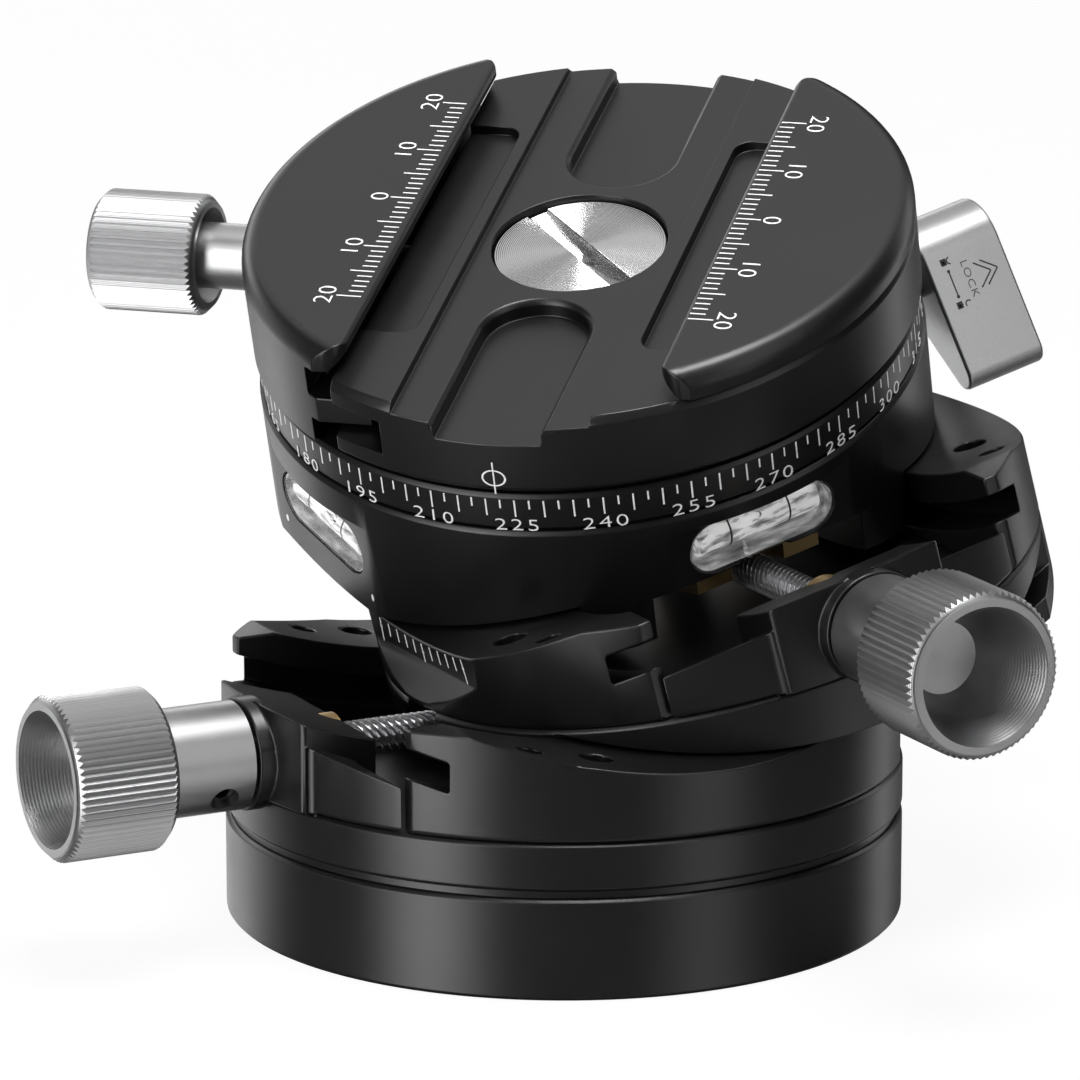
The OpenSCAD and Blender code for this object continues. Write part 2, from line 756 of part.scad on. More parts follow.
module lower_stage_plate() {
    color(black) difference() {
        translate([0, 0, stage_z - stage_plate_h]) turned_disc(body_r, stage_plate_h);
        base_screw_forms(run_fit);
        lower_stage() plate_holes();
    }
}

module lower_rail_front() { color(black) lower_stage() rail(-1); }
module lower_rail_back() { color(black) lower_stage() rail(1); }
module lower_rail_screws() { color(steel) lower_stage() rail_screws(); }
module lower_rail_dowels() { color(steel) lower_stage() rail_dowels(); }
module lower_knob_block() { color(black) lower_stage() knob_block(); }
module lower_shaft_bush() { color(brass) lower_stage() shaft_bush(); }
module lower_worm_post() { color(steel) lower_stage() worm_post(); }
module lower_worm() { color(steel) lower_stage() worm(lower_tilt * gear_ratio); }
module lower_knob() { color(silver) lower_stage() tilt_knob(); }
module lower_knob_grub_screw() { color(black) lower_stage() grub_screw(); }

// Middle

module middle_plate() {
    color(black) middle() difference() {
        translate([0, 0, stage_z]) difference() {
            slider_form(mid_roof_h, stage_rise);
            slider_cuts(mid_roof_h, mid_cover_z);
        }
        translate([0, 0, mid_z]) rotate([0, 0, 90]) plate_holes();
    }
}

module lower_rack() {
    color(brass) middle() translate([0, 0, stage_z]) rack(mid_cover_z);
}

module upper_rail_right() { color(black) upper_stage() rail(-1); }
module upper_rail_left() { color(black) upper_stage() rail(1); }
module upper_rail_screws() { color(steel) upper_stage() rail_screws(); }
module upper_rail_dowels() { color(steel) upper_stage() rail_dowels(); }
module upper_knob_block() { color(black) upper_stage() knob_block(); }
module upper_shaft_bush() { color(brass) upper_stage() shaft_bush(); }
module upper_worm_post() { color(steel) upper_stage() worm_post(); }
module upper_worm() { color(steel) upper_stage() worm(upper_tilt * gear_ratio); }
module upper_knob() { color(silver) upper_stage() tilt_knob(); }
module upper_knob_grub_screw() { color(black) upper_stage() grub_screw(); }

// Top body

module top_body() {
    color(black) top() difference() {
        union() {
            translate([0, 0, mid_z]) rotate([0, 0, 90]) difference() {
                slider_form(top_roof_h, body_h);
                slider_cuts(top_roof_h, top_cover_z);
            }
            translate([0, 0, rim_z - eps]) cylinder(d = ring_in_d - 2 * run_fit, h = ring_h + clamp_gap - slip_t);
        }
        vial_flat(-90, left_flat_drop);
        vial_flat(0, front_flat_drop);
        vial_place(-90, left_vial_drop) stadium(vial_l + 2 * run_fit, vial_w + 2 * run_fit, far);
        vial_place(0, front_vial_drop) stadium(vial_l + 2 * run_fit, vial_w + 2 * run_fit, far);
        translate([0, 0, rim_z - spindle_sink]) cylinder(d = spindle_d + 2 * run_fit, h = far);
        translate([0, 0, lever_z]) x_rod(lever_shaft_d + 2 * run_fit, spindle_d / 2, far);
    }
}

module vial_flat(turn, drop) {
    rotate([0, 0, turn]) translate([-far / 2, -far - flat_r, mid_z - far])
        cube([far, far, body_h - drop + far]);
}

// Places a vial with its length along the flat and its back towards the axis
module vial_place(turn, drop) {
    rotate([0, 0, turn]) translate([0, -flat_r + vial_t, rim_z - drop]) rotate([90, 0, 0]) children();
}

module left_vial() {
    color(clear_vial) top() vial_place(-90, left_vial_drop) stadium(vial_l, vial_w, vial_t);
}

module front_vial() {
    color(clear_vial) top() vial_place(0, front_vial_drop) stadium(vial_l, vial_w, vial_t);
}

module upper_rack() {
    color(brass) top() translate([0, 0, mid_z]) rotate([0, 0, 90]) rack(top_cover_z);
}

module degree_ring() {
    color(black) top() translate([0, 0, rim_z]) difference() {
        turned_disc(ring_r, ring_h);
        translate([0, 0, -1]) cylinder(d = ring_in_d, h = ring_h + 2);
    }
}

module pan_spindle() {
    color(steel) top() translate([0, 0, rim_z - spindle_sink])
        cylinder(d = spindle_d, h = head_seat_z - rim_z + spindle_sink);
}

module slip_washer() {
    color(brass) top() translate([0, 0, clamp_z - slip_t]) difference() {
        cylinder(d = slip_out_d, h = slip_t - run_fit);
        translate([0, 0, -1]) cylinder(d = slip_in_d, h = slip_t + 2);
    }
}

module middle_screw() {
    color(steel) top() difference() {
        translate([0, 0, head_seat_z]) cylinder(d = screw_head_d, h = screw_head_h);
        rotate([0, 0, driver_slot_turn]) translate([0, 0, head_top_z + driver_slot_r - driver_slot_depth])
            rotate([90, 0, 0]) cylinder(r = driver_slot_r, h = driver_slot_w, center = true);
    }
}

module lever_shaft() {
    color(steel) top() translate([0, 0, lever_z]) {
        x_rod(lever_shaft_d, spindle_d / 2 + shoe_l + shoe_gap, lever_in + lever_w / 2);
        x_rod(lever_collar_d, body_r + slide_clear, lever_in - eps);
    }
}

module brake_shoe() {
    color(brass) top() translate([0, 0, lever_z])
        x_rod(lever_shaft_d, spindle_d / 2 + run_fit, spindle_d / 2 + shoe_l);
}

// The lever hangs in the plane across its axis: a hub, a thinner tip and the web between them
module lock_lever() {
    face = [0, -1];
    tip = [lever_l, -(hub_r - tip_r)];
    reach = norm(tip);
    axis_turn = atan2(tip[1], tip[0]);
    spread = acos((hub_r - tip_r) / reach);
    back = [cos(axis_turn + spread), sin(axis_turn + spread)];
    color(silver) top() translate([lever_in, 0, lever_z]) rotate([-lever_lean, 0, 0]) rotate([0, 90, 0])
        difference() {
            union() {
                cylinder(r = hub_r, h = lever_w);
                translate(tip) cylinder(r = tip_r, h = lever_w);
                linear_extrude(lever_w)
                    polygon([hub_r * face, tip + tip_r * face, tip + tip_r * back, hub_r * back]);
            }
            translate([0, 0, -1]) cylinder(d = lever_shaft_d + 2 * run_fit, h = lever_w / 2 + 1 + run_fit);
        }
}

// Clamp

module clamp_base() {
    heel_room = 2 * body_r;
    color(black) clamp() difference() {
        union() {
            translate([0, 0, clamp_z]) turned_disc(body_r, land_h, clamp_chamfer);
            intersection() {
                translate([0, 0, clamp_z + 1]) rounded_disc(body_r, land_h + jaw_h - 1, jaw_round);
                jaw_bar(0);
            }
        }
        translate([-land_half, -far / 2, mid_land_z]) cube([2 * land_half, far, far]);
        for (s = [-1, 1]) scale([1, s, 1]) relief_slot();
        for (s = [0, 1]) mirror([s, 0, 0]) side_pocket();
        translate([-base_edge_x - heel_room, -far / 2, 0]) cube([heel_room, far, far]);
        for (s = [0, 1]) mirror([0, s, 0])
            translate([-slot_x - heel_room, screw_land_half, clamp_z + slot_z]) cube([heel_room, far, slot_h]);
        translate([0, 0, clamp_z - 1]) cylinder(d = spindle_d + 2 * run_fit, h = far);
        translate([0, 0, head_seat_z - screw_head_clear])
            cylinder(d = screw_head_d + 2 * screw_head_clear, h = far);
        translate([0, 0, clamp_z + clamp_screw_z]) x_rod(clamp_screw_d + 2 * run_fit, -far, -clamp_bore_x);
        for (s = [-1, 1]) translate([0, s * guide_y, clamp_z + slot_z + slot_h / 2])
            x_rod(guide_d + 2 * run_fit, -far, -guide_x + guide_travel);
    }
}

// Bar with the dovetail flank of a jaw, standing on the outer lands
module jaw_bar(lift) {
    difference() {
        intersection() {
            translate([0, jaw_half, 0]) rotate([90, 0, 0]) linear_extrude(2 * jaw_half)
                polygon([[jaw_foot - lift, land_z + lift], [jaw_edge, jaw_z - lip_t], [jaw_edge, jaw_z + 1],
                    [far, jaw_z + 1], [far, land_z + lift - eps], [jaw_foot - lift, land_z + lift - eps]]);
            rounded_strip(jaw_edge, jaw_half, jaw_corner, far);
        }
        difference() {
            translate([jaw_edge - 1, -far / 2, jaw_z - jaw_edge_round])
                cube([1 + jaw_edge_round, far, 2 * jaw_edge_round]);
            translate([jaw_edge + jaw_edge_round, 0, jaw_z - jaw_edge_round]) rotate([90, 0, 0])
                cylinder(r = jaw_edge_round, h = 2 * far, center = true);
        }
    }
}

// Strip that starts at x0 with two rounded corners and runs out along X
module rounded_strip(x0, half_w, r, h) {
    translate([x0 + r, -half_w, 0]) cube([far, 2 * half_w, h]);
    translate([x0, r - half_w, 0]) cube([far, 2 * (half_w - r), h]);
    for (s = [-1, 1]) translate([x0 + r, s * (half_w - r), 0]) cylinder(r = r, h = h);
}

module relief_slot() {
    mid = [0, relief_end + relief_half, mid_land_z - relief_chamfer];
    wide = relief_half + relief_chamfer;
    translate([0, mid[1], land_z - relief_depth]) {
        cylinder(r = relief_half, h = far);
        translate([-relief_half, 0, 0]) cube([2 * relief_half, far, far]);
    }
    translate(mid) {
        cylinder(r1 = relief_half, r2 = wide, h = relief_chamfer);
        rotate([-90, 0, 0]) linear_extrude(far)
            polygon([[-relief_half, 0], [relief_half, 0], [wide, -relief_chamfer], [-wide, -relief_chamfer]]);
    }
}

module side_pocket() {
    intersection() {
        translate([0, 0, land_z - pocket_depth])
            rounded_strip(pocket_in, pocket_half, pocket_round, pocket_depth + eps);
        translate([0, -far / 2, 0]) cube([jaw_foot - jaw_clear, far, far]);
    }
}

module moving_jaw() {
    tongue_z = clamp_z + slot_z + (slot_h - tongue_h) / 2;
    color(black) clamp() difference() {
        intersection() {
            translate([0, 0, clamp_z]) rounded_disc(body_r, land_h + jaw_h, jaw_round);
            union() {
                translate([-far - heel_x, -jaw_half, 0]) cube([far, 2 * jaw_half, far]);
                mirror([1, 0, 0]) jaw_bar(jaw_clear);
                for (s = [0, 1]) mirror([0, s, 0])
                    translate([-far - tongue_x, screw_land_half + jaw_clear, tongue_z])
                        cube([far, jaw_half - screw_land_half - jaw_clear, tongue_h]);
            }
        }
        translate([0, 0, clamp_z + clamp_screw_z]) {
            x_rod(clamp_screw_d + 2 * run_fit, -far, 0);
            x_rod(clamp_stem_d + 2 * jaw_clear, -far, spot_depth - body_r);
        }
        jaw_pins(run_fit);
    }
}

module jaw_pins(extra) {
    for (s = [-1, 1]) translate([0, s * guide_y, clamp_z + slot_z + slot_h / 2])
        x_rod(guide_d + 2 * extra, -heel_x - guide_hold - extra, -guide_x);
}

module jaw_guide_pins() {
    color(steel) clamp() jaw_pins(0);
}

module clamp_screw() {
    color(steel) clamp() translate([0, 0, clamp_z + clamp_screw_z])
        x_rod(clamp_screw_d, -body_r - clamp_stem_l - clamp_rim_l / 2, -clamp_screw_x);
}

module clamp_knob() {
    knob_in = body_r + clamp_stem_l;
    color(silver) clamp() translate([0, 0, clamp_z + clamp_screw_z]) difference() {
        union() {
            x_rod(clamp_stem_d, -knob_in - clamp_recess_l - stem_root, spot_depth - body_r - eps);
            translate([-knob_in, 0, 0]) rotate([0, -90, 0]) difference() {
                knurled_rim(clamp_rim_d, clamp_rim_l, clamp_flutes, clamp_recess_d, clamp_stem_d, clamp_recess_l);
                translate([0, 0, -eps])
                    cylinder(d1 = clamp_recess_d, d2 = clamp_stem_d + 2 * jaw_clear, h = clamp_recess_l);
            }
        }
        x_rod(clamp_screw_d + 2 * run_fit, -knob_in - clamp_rim_l / 2 - run_fit, 0);
    }
}

base_plate();
tripod_bush();
base_screws();
lower_stage_plate();
lower_rail_front();
lower_rail_back();
lower_rail_screws();
lower_rail_dowels();
lower_knob_block();
lower_shaft_bush();
lower_worm_post();
lower_worm();
lower_knob();
lower_knob_grub_screw();
middle_plate();
lower_rack();
upper_rail_right();
upper_rail_left();
upper_rail_screws();
upper_rail_dowels();
upper_knob_block();
upper_shaft_bush();
upper_worm_post();
upper_worm();
upper_knob();
upper_knob_grub_screw();
top_body();
upper_rack();
left_vial();
front_vial();
degree_ring();
pan_spindle();
slip_washer();
brake_shoe();
lock_lever();
lever_shaft();
clamp_base();
middle_screw();
moving_jaw();
jaw_guide_pins();
clamp_screw();
clamp_knob();
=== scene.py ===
"""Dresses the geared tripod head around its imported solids.

Each solid gets a skin with broken edges and its finish. Painted scales, the lever's signs, the
bubble vials, the screw sockets and the tripod thread are modelled here, and a plain white studio
holds it all. Pieces are modelled in millimetres at the origin, and then placed in the frame's
metres.
"""

from __future__ import annotations

import itertools
import json
import logging
import math
from collections.abc import Callable, Mapping, Sequence
from dataclasses import dataclass
from enum import Enum
from typing import Any, ClassVar

import bpy
from mathutils import Matrix, Vector
from mathutils.geometry import intersect_line_line_2d

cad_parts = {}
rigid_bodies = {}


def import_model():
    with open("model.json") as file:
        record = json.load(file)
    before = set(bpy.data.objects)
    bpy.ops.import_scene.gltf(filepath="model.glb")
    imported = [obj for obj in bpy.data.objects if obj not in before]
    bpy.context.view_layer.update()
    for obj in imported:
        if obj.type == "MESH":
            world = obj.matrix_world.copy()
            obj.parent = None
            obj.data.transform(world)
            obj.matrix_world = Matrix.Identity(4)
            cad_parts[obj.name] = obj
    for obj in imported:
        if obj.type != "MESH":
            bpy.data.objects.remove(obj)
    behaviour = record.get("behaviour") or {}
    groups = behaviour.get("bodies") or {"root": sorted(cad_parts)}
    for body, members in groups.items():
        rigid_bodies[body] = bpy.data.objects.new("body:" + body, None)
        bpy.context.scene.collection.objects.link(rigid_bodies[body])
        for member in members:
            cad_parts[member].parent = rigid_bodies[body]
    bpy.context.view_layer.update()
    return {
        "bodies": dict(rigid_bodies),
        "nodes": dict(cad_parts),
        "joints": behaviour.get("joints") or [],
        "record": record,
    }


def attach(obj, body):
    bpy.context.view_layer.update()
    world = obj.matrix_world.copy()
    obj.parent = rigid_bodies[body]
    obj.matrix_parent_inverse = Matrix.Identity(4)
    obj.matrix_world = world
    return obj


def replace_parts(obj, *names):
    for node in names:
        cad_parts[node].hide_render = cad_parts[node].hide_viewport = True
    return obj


LOG = logging.getLogger("tripod_head")
MM = 0.001
# Points nearer to each other than this are one, in metres and in millimetres
POINT = 2e-6
POINT_MM = 1e-4
# A face looks along Z from this share of its normal on
ALONG = 0.9
# Painted letters are a little thinner than the plain ones
THIN = -0.012

Piece = bpy.types.Object
Pair = tuple[float, float]
Triple = tuple[float, float, float]
Colour = tuple[float, float, float]
Tones = tuple[tuple[float, Colour], ...]
Settings = Mapping[str, Any]
Inputs = Mapping[str | int, Any]


class Slot(Enum):
    """The record's material slots."""

    BLACK = "black_anodised"
    SILVER = "silver_anodised"
    STEEL = "steel"
    BRASS = "brass"
    VIAL = "vial"


class Body(Enum):
    """The moving bodies of the head."""

    BASE = "base"
    MIDDLE = "middle"
    TOP = "top"
    LEVER = "lever"
    CLAMP = "clamp"
    JAW = "jaw"
    LOWER_DRIVE = "lower_drive"
    UPPER_DRIVE = "upper_drive"
    CLAMP_DRIVE = "clamp_drive"


def moved(x: float, y: float, z: float) -> Matrix:
    """Returns a move."""
    return Matrix.Translation((x, y, z))


def turned(degrees: float, axis: str) -> Matrix:
    """Returns a turn about an axis."""
    return Matrix.Rotation(math.radians(degrees), 4, axis)


def metres(frame: Matrix) -> Matrix:
    """Turns a frame in millimetres into one in metres.

    Args:
        frame: The frame in millimetres.

    Returns:
        The same frame in metres.
    """
    scaled = frame.copy()
    scaled.translation = frame.translation * MM
    return scaled


def seat(origin: Sequence[float], right: Sequence[float], up: Sequence[float]) -> Matrix:
    """Makes the frame of a spot on a surface.

    Args:
        origin: The spot.
        right: Direction of the frame's X axis.
        up: Direction of the frame's Y axis, square to right.

    Returns:
        The frame, whose Z axis points out of the surface.
    """
    x = Vector(right).normalized()
    y = Vector(up).normalized()
    frame = Matrix((x, y, x.cross(y))).transposed().to_4x4()
    frame.translation = Vector(origin)
    return frame


def on_drum(radius: float, degrees: float, z: float) -> Matrix:
    """Makes the frame of a spot on an upright drum.

    Args:
        radius: The drum's radius.
        degrees: Where the spot is round the drum, counter-clockwise.
        z: Height of the spot.

    Returns:
        The frame, with X to the right for someone who looks at the drum.
    """
    a = math.radians(degrees)
    spot = (radius * math.cos(a), radius * math.sin(a), z)
    return seat(spot, (-math.sin(a), math.cos(a), 0), (0, 0, 1))


def corners(x: float, y: float, z: float) -> tuple[Triple, ...]:
    """Returns the four corners of a rectangle about the Z axis, at height z."""
    return tuple((sx * x, sy * y, z) for sx in (-1, 1) for sy in (-1, 1))


def looks_up(normal: Vector) -> bool:
    """Tells whether a face looks up."""
    return normal.z > ALONG


def looks_down(normal: Vector) -> bool:
    """Tells whether a face looks down."""
    return normal.z < -ALONG


def is_end(normal: Vector) -> bool:
    """Tells whether a face looks up or down."""
    return abs(normal.z) > ALONG


@dataclass(frozen=True)
class Places:
    """Frames of the head's stages in millimetres, as the solids stand at rest."""

    stage_z: float = 16.7
    mid_z: float = 30.5
    arc_h: float = 81.6
    tilt: float = 15.0
    pan: float = -46.2
    lever_z: float = 46.4
    lever_lean: float = 35.0
    worm_h: float = 4.3
    clamp_screw_z: float = 61.4

    def lower_stage(self) -> Matrix:
        """Returns the frame of the lower stage, on its plate."""
        return moved(0, 0, self.stage_z)

    def middle(self) -> Matrix:
        """Returns the frame of the middle plate, tilted about the lower arc's centre."""
        centre = moved(0, 0, self.stage_z + self.arc_h)
        return centre @ turned(-self.tilt, "Y") @ centre.inverted()

    def upper_stage(self) -> Matrix:
        """Returns the frame of the upper stage, with its knob along -X."""
        return self.middle() @ moved(0, 0, self.mid_z) @ turned(90, "Z")

    def top(self) -> Matrix:
        """Returns the frame of the top body, tilted about the upper arc's centre."""
        centre = moved(0, 0, self.mid_z + self.arc_h)
        return self.middle() @ centre @ turned(self.tilt, "X") @ centre.inverted()

    def clamp(self) -> Matrix:
        """Returns the frame of the clamp, turned on its spindle."""
        return self.top() @ turned(self.pan, "Z")

    def lever(self) -> Matrix:
        """Makes a frame on the lever's axis.

        Returns:
            The frame, with X out along the axis and Y up the lever's face.
        """
        lean = math.radians(self.lever_lean)
        up = (0, math.sin(lean), math.cos(lean))
        return self.top() @ seat((0, 0, self.lever_z), (1, 0, 0), up)


class Field:
    """A shader socket that takes part in Python arithmetic."""

    def __init__(self, graph: Graph, socket: bpy.types.NodeSocket) -> None:
        """Wraps a socket of a graph."""
        self.graph = graph
        self.socket = socket

    def _math(self, operation: str, first: Any, second: Any) -> Field:
        """Adds a Math node.

        Args:
            operation: The Math node's operation.
            first: A field or a number.
            second: A field or a number.

        Returns:
            The node's value.
        """
        settings = {"operation": operation}
        return self.graph.field("ShaderNodeMath", "Value", settings, {0: first, 1: second})

    def __add__(self, other: Any) -> Field:
        """Returns self + other."""
        return self._math("ADD", self, other)

    def __radd__(self, other: Any) -> Field:
        """Returns other + self."""
        return self._math("ADD", other, self)

    def __mul__(self, other: Any) -> Field:
        """Returns self * other."""
        return self._math("MULTIPLY", self, other)

    def __rmul__(self, other: Any) -> Field:
        """Returns other * self."""
        return self._math("MULTIPLY", other, self)

    def most(self, other: Any) -> Field:
        """Returns the larger of this value and another."""
        return self._math("MAXIMUM", self, other)


class Graph:
    """The node tree of one material or of the world."""

    # A wave texture's own factor on its scale
    WAVE: ClassVar[float] = 20

    def __init__(self, owner: bpy.types.Material | bpy.types.World) -> None:
        """Empties a node tree.

        Args:
            owner: The material or the world whose tree it is.
        """
        self.owner = owner
        owner.use_nodes = True
        self.tree = owner.node_tree
        self.tree.nodes.clear()

    @classmethod
    def named(cls, name: str) -> Graph:
        """Returns the empty node tree of a new material."""
        return cls(bpy.data.materials.new(name))

    def add(self, kind: str, settings: Settings, inputs: Inputs) -> bpy.types.Node:
        """Adds any node.

        Args:
            kind: The node's type.
            settings: Its own settings, set first. "stops" holds a ramp's places and colours.
            inputs: Values or fields of its sockets, by name or number.

        Returns:
            The node.
        """
        node = self.tree.nodes.new(kind)
        for key, value in settings.items():
            if key == "stops":
                self._ramp(node.color_ramp, value)
            else:
                setattr(node, key, value)
        for key, value in inputs.items():
            if isinstance(value, Field):
                self.tree.links.new(value.socket, node.inputs[key])
            else:
                node.inputs[key].default_value = value
        return node

    @staticmethod
    def _ramp(ramp: bpy.types.ColorRamp, stops: Tones) -> None:
        """Sets the stops of a colour ramp.

        Args:
            ramp: The ramp.
            stops: Places and colours, from left to right.
        """
        while len(ramp.elements) < len(stops):
            ramp.elements.new(0.5)
        for element, (place, colour) in zip(ramp.elements, stops):
            element.position = place
            element.color = (*colour, 1)

    def field(self, kind: str, output: str, settings: Settings, inputs: Inputs) -> Field:
        """Adds any node and returns one of its outputs as a field."""
        return Field(self, self.add(kind, settings, inputs).outputs[output])

    def place(self, frame: Matrix | None = None) -> Field:
        """Reads the place on the surface.

        Args:
            frame: A frame in metres that the place is measured in, or None for the object's own.

        Returns:
            The place as a vector field.
        """
        here = self.field("ShaderNodeTexCoord", "Object", {}, {})
        if frame is None:
            return here
        inverse = frame.inverted()
        inputs = {"Vector": here, "Location": inverse.translation, "Rotation": inverse.to_euler()}
        return self.field("ShaderNodeMapping", "Vector", {}, inputs)

    def noise(self, where: Field, size_mm: float, detail: float = 2.0) -> Field:
        """Returns noise from 0 to 1 whose grains are about as large as size_mm."""
        inputs = {"Vector": where, "Scale": 1 / (size_mm * MM), "Detail": detail}
        return self.field("ShaderNodeTexNoise", "Fac", {}, inputs)

    def cloud(self, where: Field, size_mm: float) -> Field:
        """Returns soft clouds about as large as size_mm."""
        return self.noise(where, size_mm, 3.0)

    def rings(self, where: Field, pitch_mm: float) -> Field:
        """Adds turning marks.

        Args:
            where: The place, whose Z axis the marks go round.
            pitch_mm: Distance from mark to mark.

        Returns:
            The marks, from 0 to 1.
        """
        scale = 2 * math.pi / (self.WAVE * pitch_mm * MM)
        inputs = {"Vector": where, "Scale": scale, "Distortion": 0.1, "Detail": 1.0}
        settings = {"wave_type": "RINGS", "rings_direction": "Z"}
        return self.field("ShaderNodeTexWave", "Fac", settings, inputs)

    def tones(self, share: Field, stops: Tones) -> Field:
        """Returns the colour of a ramp."""
        return self.field("ShaderNodeValToRGB", "Color", {"stops": stops}, {"Fac": share})

    def shade(self, share: Field, colour: Colour, dark: float, light: float) -> Field:
        """Returns a colour times a factor that goes from dark to light."""
        ends = (tuple(min(1.0, c * factor) for c in colour) for factor in (dark, light))
        return self.tones(share, tuple(zip((0.0, 1.0), ends)))

    def bump(self, height: Field, depth_mm: float, strength: float) -> Field:
        """Returns a normal bent by a height field."""
        inputs = {"Height": height, "Distance": depth_mm * MM, "Strength": strength}
        return self.field("ShaderNodeBump", "Normal", {}, inputs)

    def mix(self, share: Field, first: Field, second: Field) -> Field:
        """Returns a shader between two others."""
        return self.field("ShaderNodeMixShader", "Shader", {}, {0: share, 1: first, 2: second})

    def close(self, **sockets: Any) -> bpy.types.Material:
        """Ends the material with a Principled shader.

        Args:
            sockets: Values or fields of the shader, with _ for each space of a socket's name.

        Returns:
            The finished material.
        """
        inputs = {key.replace("_", " "): value for key, value in sockets.items()}
        surface = self.field("ShaderNodeBsdfPrincipled", "BSDF", {}, inputs)
        self.add("ShaderNodeOutputMaterial", {}, {"Surface": surface})
        return self.owner


@dataclass(frozen=True)
class Blasted:
    """Bead-blasted metal under a dyed skin: fine grain, faint clouds and a satin gloss."""

    name: str
    colour: Colour
    metallic: float = 0.0
    roughness: float = 0.36
    rough_dip: float = 0.06
    rough_cloud: float = 0.08
    rough_grain: float = 0.04
    grain_mm: float = 0.16
    grain_share: float = 0.55
    cloud_mm: float = 9.0
    dark: float = 0.72
    light: float = 1.28
    depth_mm: float = 0.02
    strength: float = 0.25

    def material(self) -> bpy.types.Material:
        """Makes the finish.

        Returns:
            The material.
        """
        g = Graph.named(self.name)
        here = g.place()
        grain = g.noise(here, self.grain_mm)
        cloud = g.cloud(here, self.cloud_mm)
        share = grain * self.grain_share + cloud * (1 - self.grain_share)
        smoothest = self.roughness - self.rough_dip
        return g.close(
            Base_Color=g.shade(share, self.colour, self.dark, self.light),
            Metallic=self.metallic,
            Roughness=smoothest + cloud * self.rough_cloud + grain * self.rough_grain,
            Normal=g.bump(grain, self.depth_mm, self.strength),
        )


@dataclass(frozen=True)
class Turned:
    """Turned metal with fine rings round an axis."""

    name: str
    colour: Colour
    frame: Matrix
    roughness: float = 0.36
    rough_dip: float = 0.05
    rough_cloud: float = 0.08
    rough_grain: float = 0.04
    pitch_mm: float = 0.14
    ring_share: float = 0.5
    cloud_mm: float = 4.0
    grain_mm: float = 0.1
    grain_height: float = 0.06
    dark: float = 0.86
    light: float = 1.1
    depth_mm: float = 0.02
    strength: float = 0.4

    def material(self) -> bpy.types.Material:
        """Makes the finish.

        Returns:
            The material.
        """
        g = Graph.named(self.name)
        here = g.place(self.frame)
        rings = g.rings(here, self.pitch_mm)
        cloud = g.cloud(here, self.cloud_mm)
        grain = g.noise(here, self.grain_mm)
        share = rings * self.ring_share + cloud * (1 - self.ring_share)
        smoothest = self.roughness - self.rough_dip
        height = rings + grain * self.grain_height
        return g.close(
            Base_Color=g.shade(share, self.colour, self.dark, self.light),
            Metallic=1.0,
            Roughness=smoothest + cloud * self.rough_cloud + grain * self.rough_grain,
            Normal=g.bump(height, self.depth_mm, self.strength),
        )


@dataclass(frozen=True)
class Bright:
    """Bare machined metal with faint clouds and tool grain."""

    name: str
    colour: Colour
    roughness: float = 0.28
    rough_dip: float = 0.06
    rough_cloud: float = 0.1
    rough_grain: float = 0.06
    cloud_mm: float = 3.0
    grain_mm: float = 0.12
    dark: float = 0.84
    light: float = 1.1
    depth_mm: float = 0.008
    strength: float = 0.2

    def material(self) -> bpy.types.Material:
        """Makes the finish.

        Returns:
            The material.
        """
        g = Graph.named(self.name)
        here = g.place()
        grain = g.noise(here, self.grain_mm)
        cloud = g.cloud(here, self.cloud_mm)
        smoothest = self.roughness - self.rough_dip
        return g.close(
            Base_Color=g.shade(cloud, self.colour, self.dark, self.light),
            Metallic=1.0,
            Roughness=smoothest + cloud * self.rough_cloud + grain * self.rough_grain,
            Normal=g.bump(grain, self.depth_mm, self.strength),
        )


@dataclass(frozen=True)
class Paint:
    """Ink filled into engraved marks, slightly uneven."""

    name: str
    colour: Colour
    roughness: float = 0.5
    rough_cloud: float = 0.12
    cloud_mm: float = 0.6
    grain_mm: float = 0.12
    dark: float = 0.92
    light: float = 1.04
    depth_mm: float = 0.006
    strength: float = 0.2

    def material(self) -> bpy.types.Material:
        """Makes the finish.

        Returns:
            The material.
        """
        g = Graph.named(self.name)
        here = g.place()
        cloud = g.noise(here, self.cloud_mm)
        return g.close(
            Base_Color=g.shade(cloud, self.colour, self.dark, self.light),
            Roughness=self.roughness + cloud * self.rough_cloud,
            Normal=g.bump(g.noise(here, self.grain_mm), self.depth_mm, self.strength),
        )


@dataclass(frozen=True)
class Clear:
    """Clear moulding that lets most light straight through and mirrors the rest."""

    name: str
    colour: Colour
    cloud_mm: float = 2.0
    dark: float = 0.94
    light: float = 1.0
    alpha: float = 0.056
    alpha_cloud: float = 0.048
    roughness: float = 0.03
    rough_cloud: float = 0.02

    def material(self) -> bpy.types.Material:
        """Makes the finish.

        Returns:
            The material.
        """
        g = Graph.named(self.name)
        cloud = g.noise(g.place(), self.cloud_mm)
        return g.close(
            Base_Color=g.shade(cloud, self.colour, self.dark, self.light),
            Metallic=1.0,
            Roughness=self.roughness + cloud * self.rough_cloud,
            Alpha=self.alpha + cloud * self.alpha_cloud,
        )


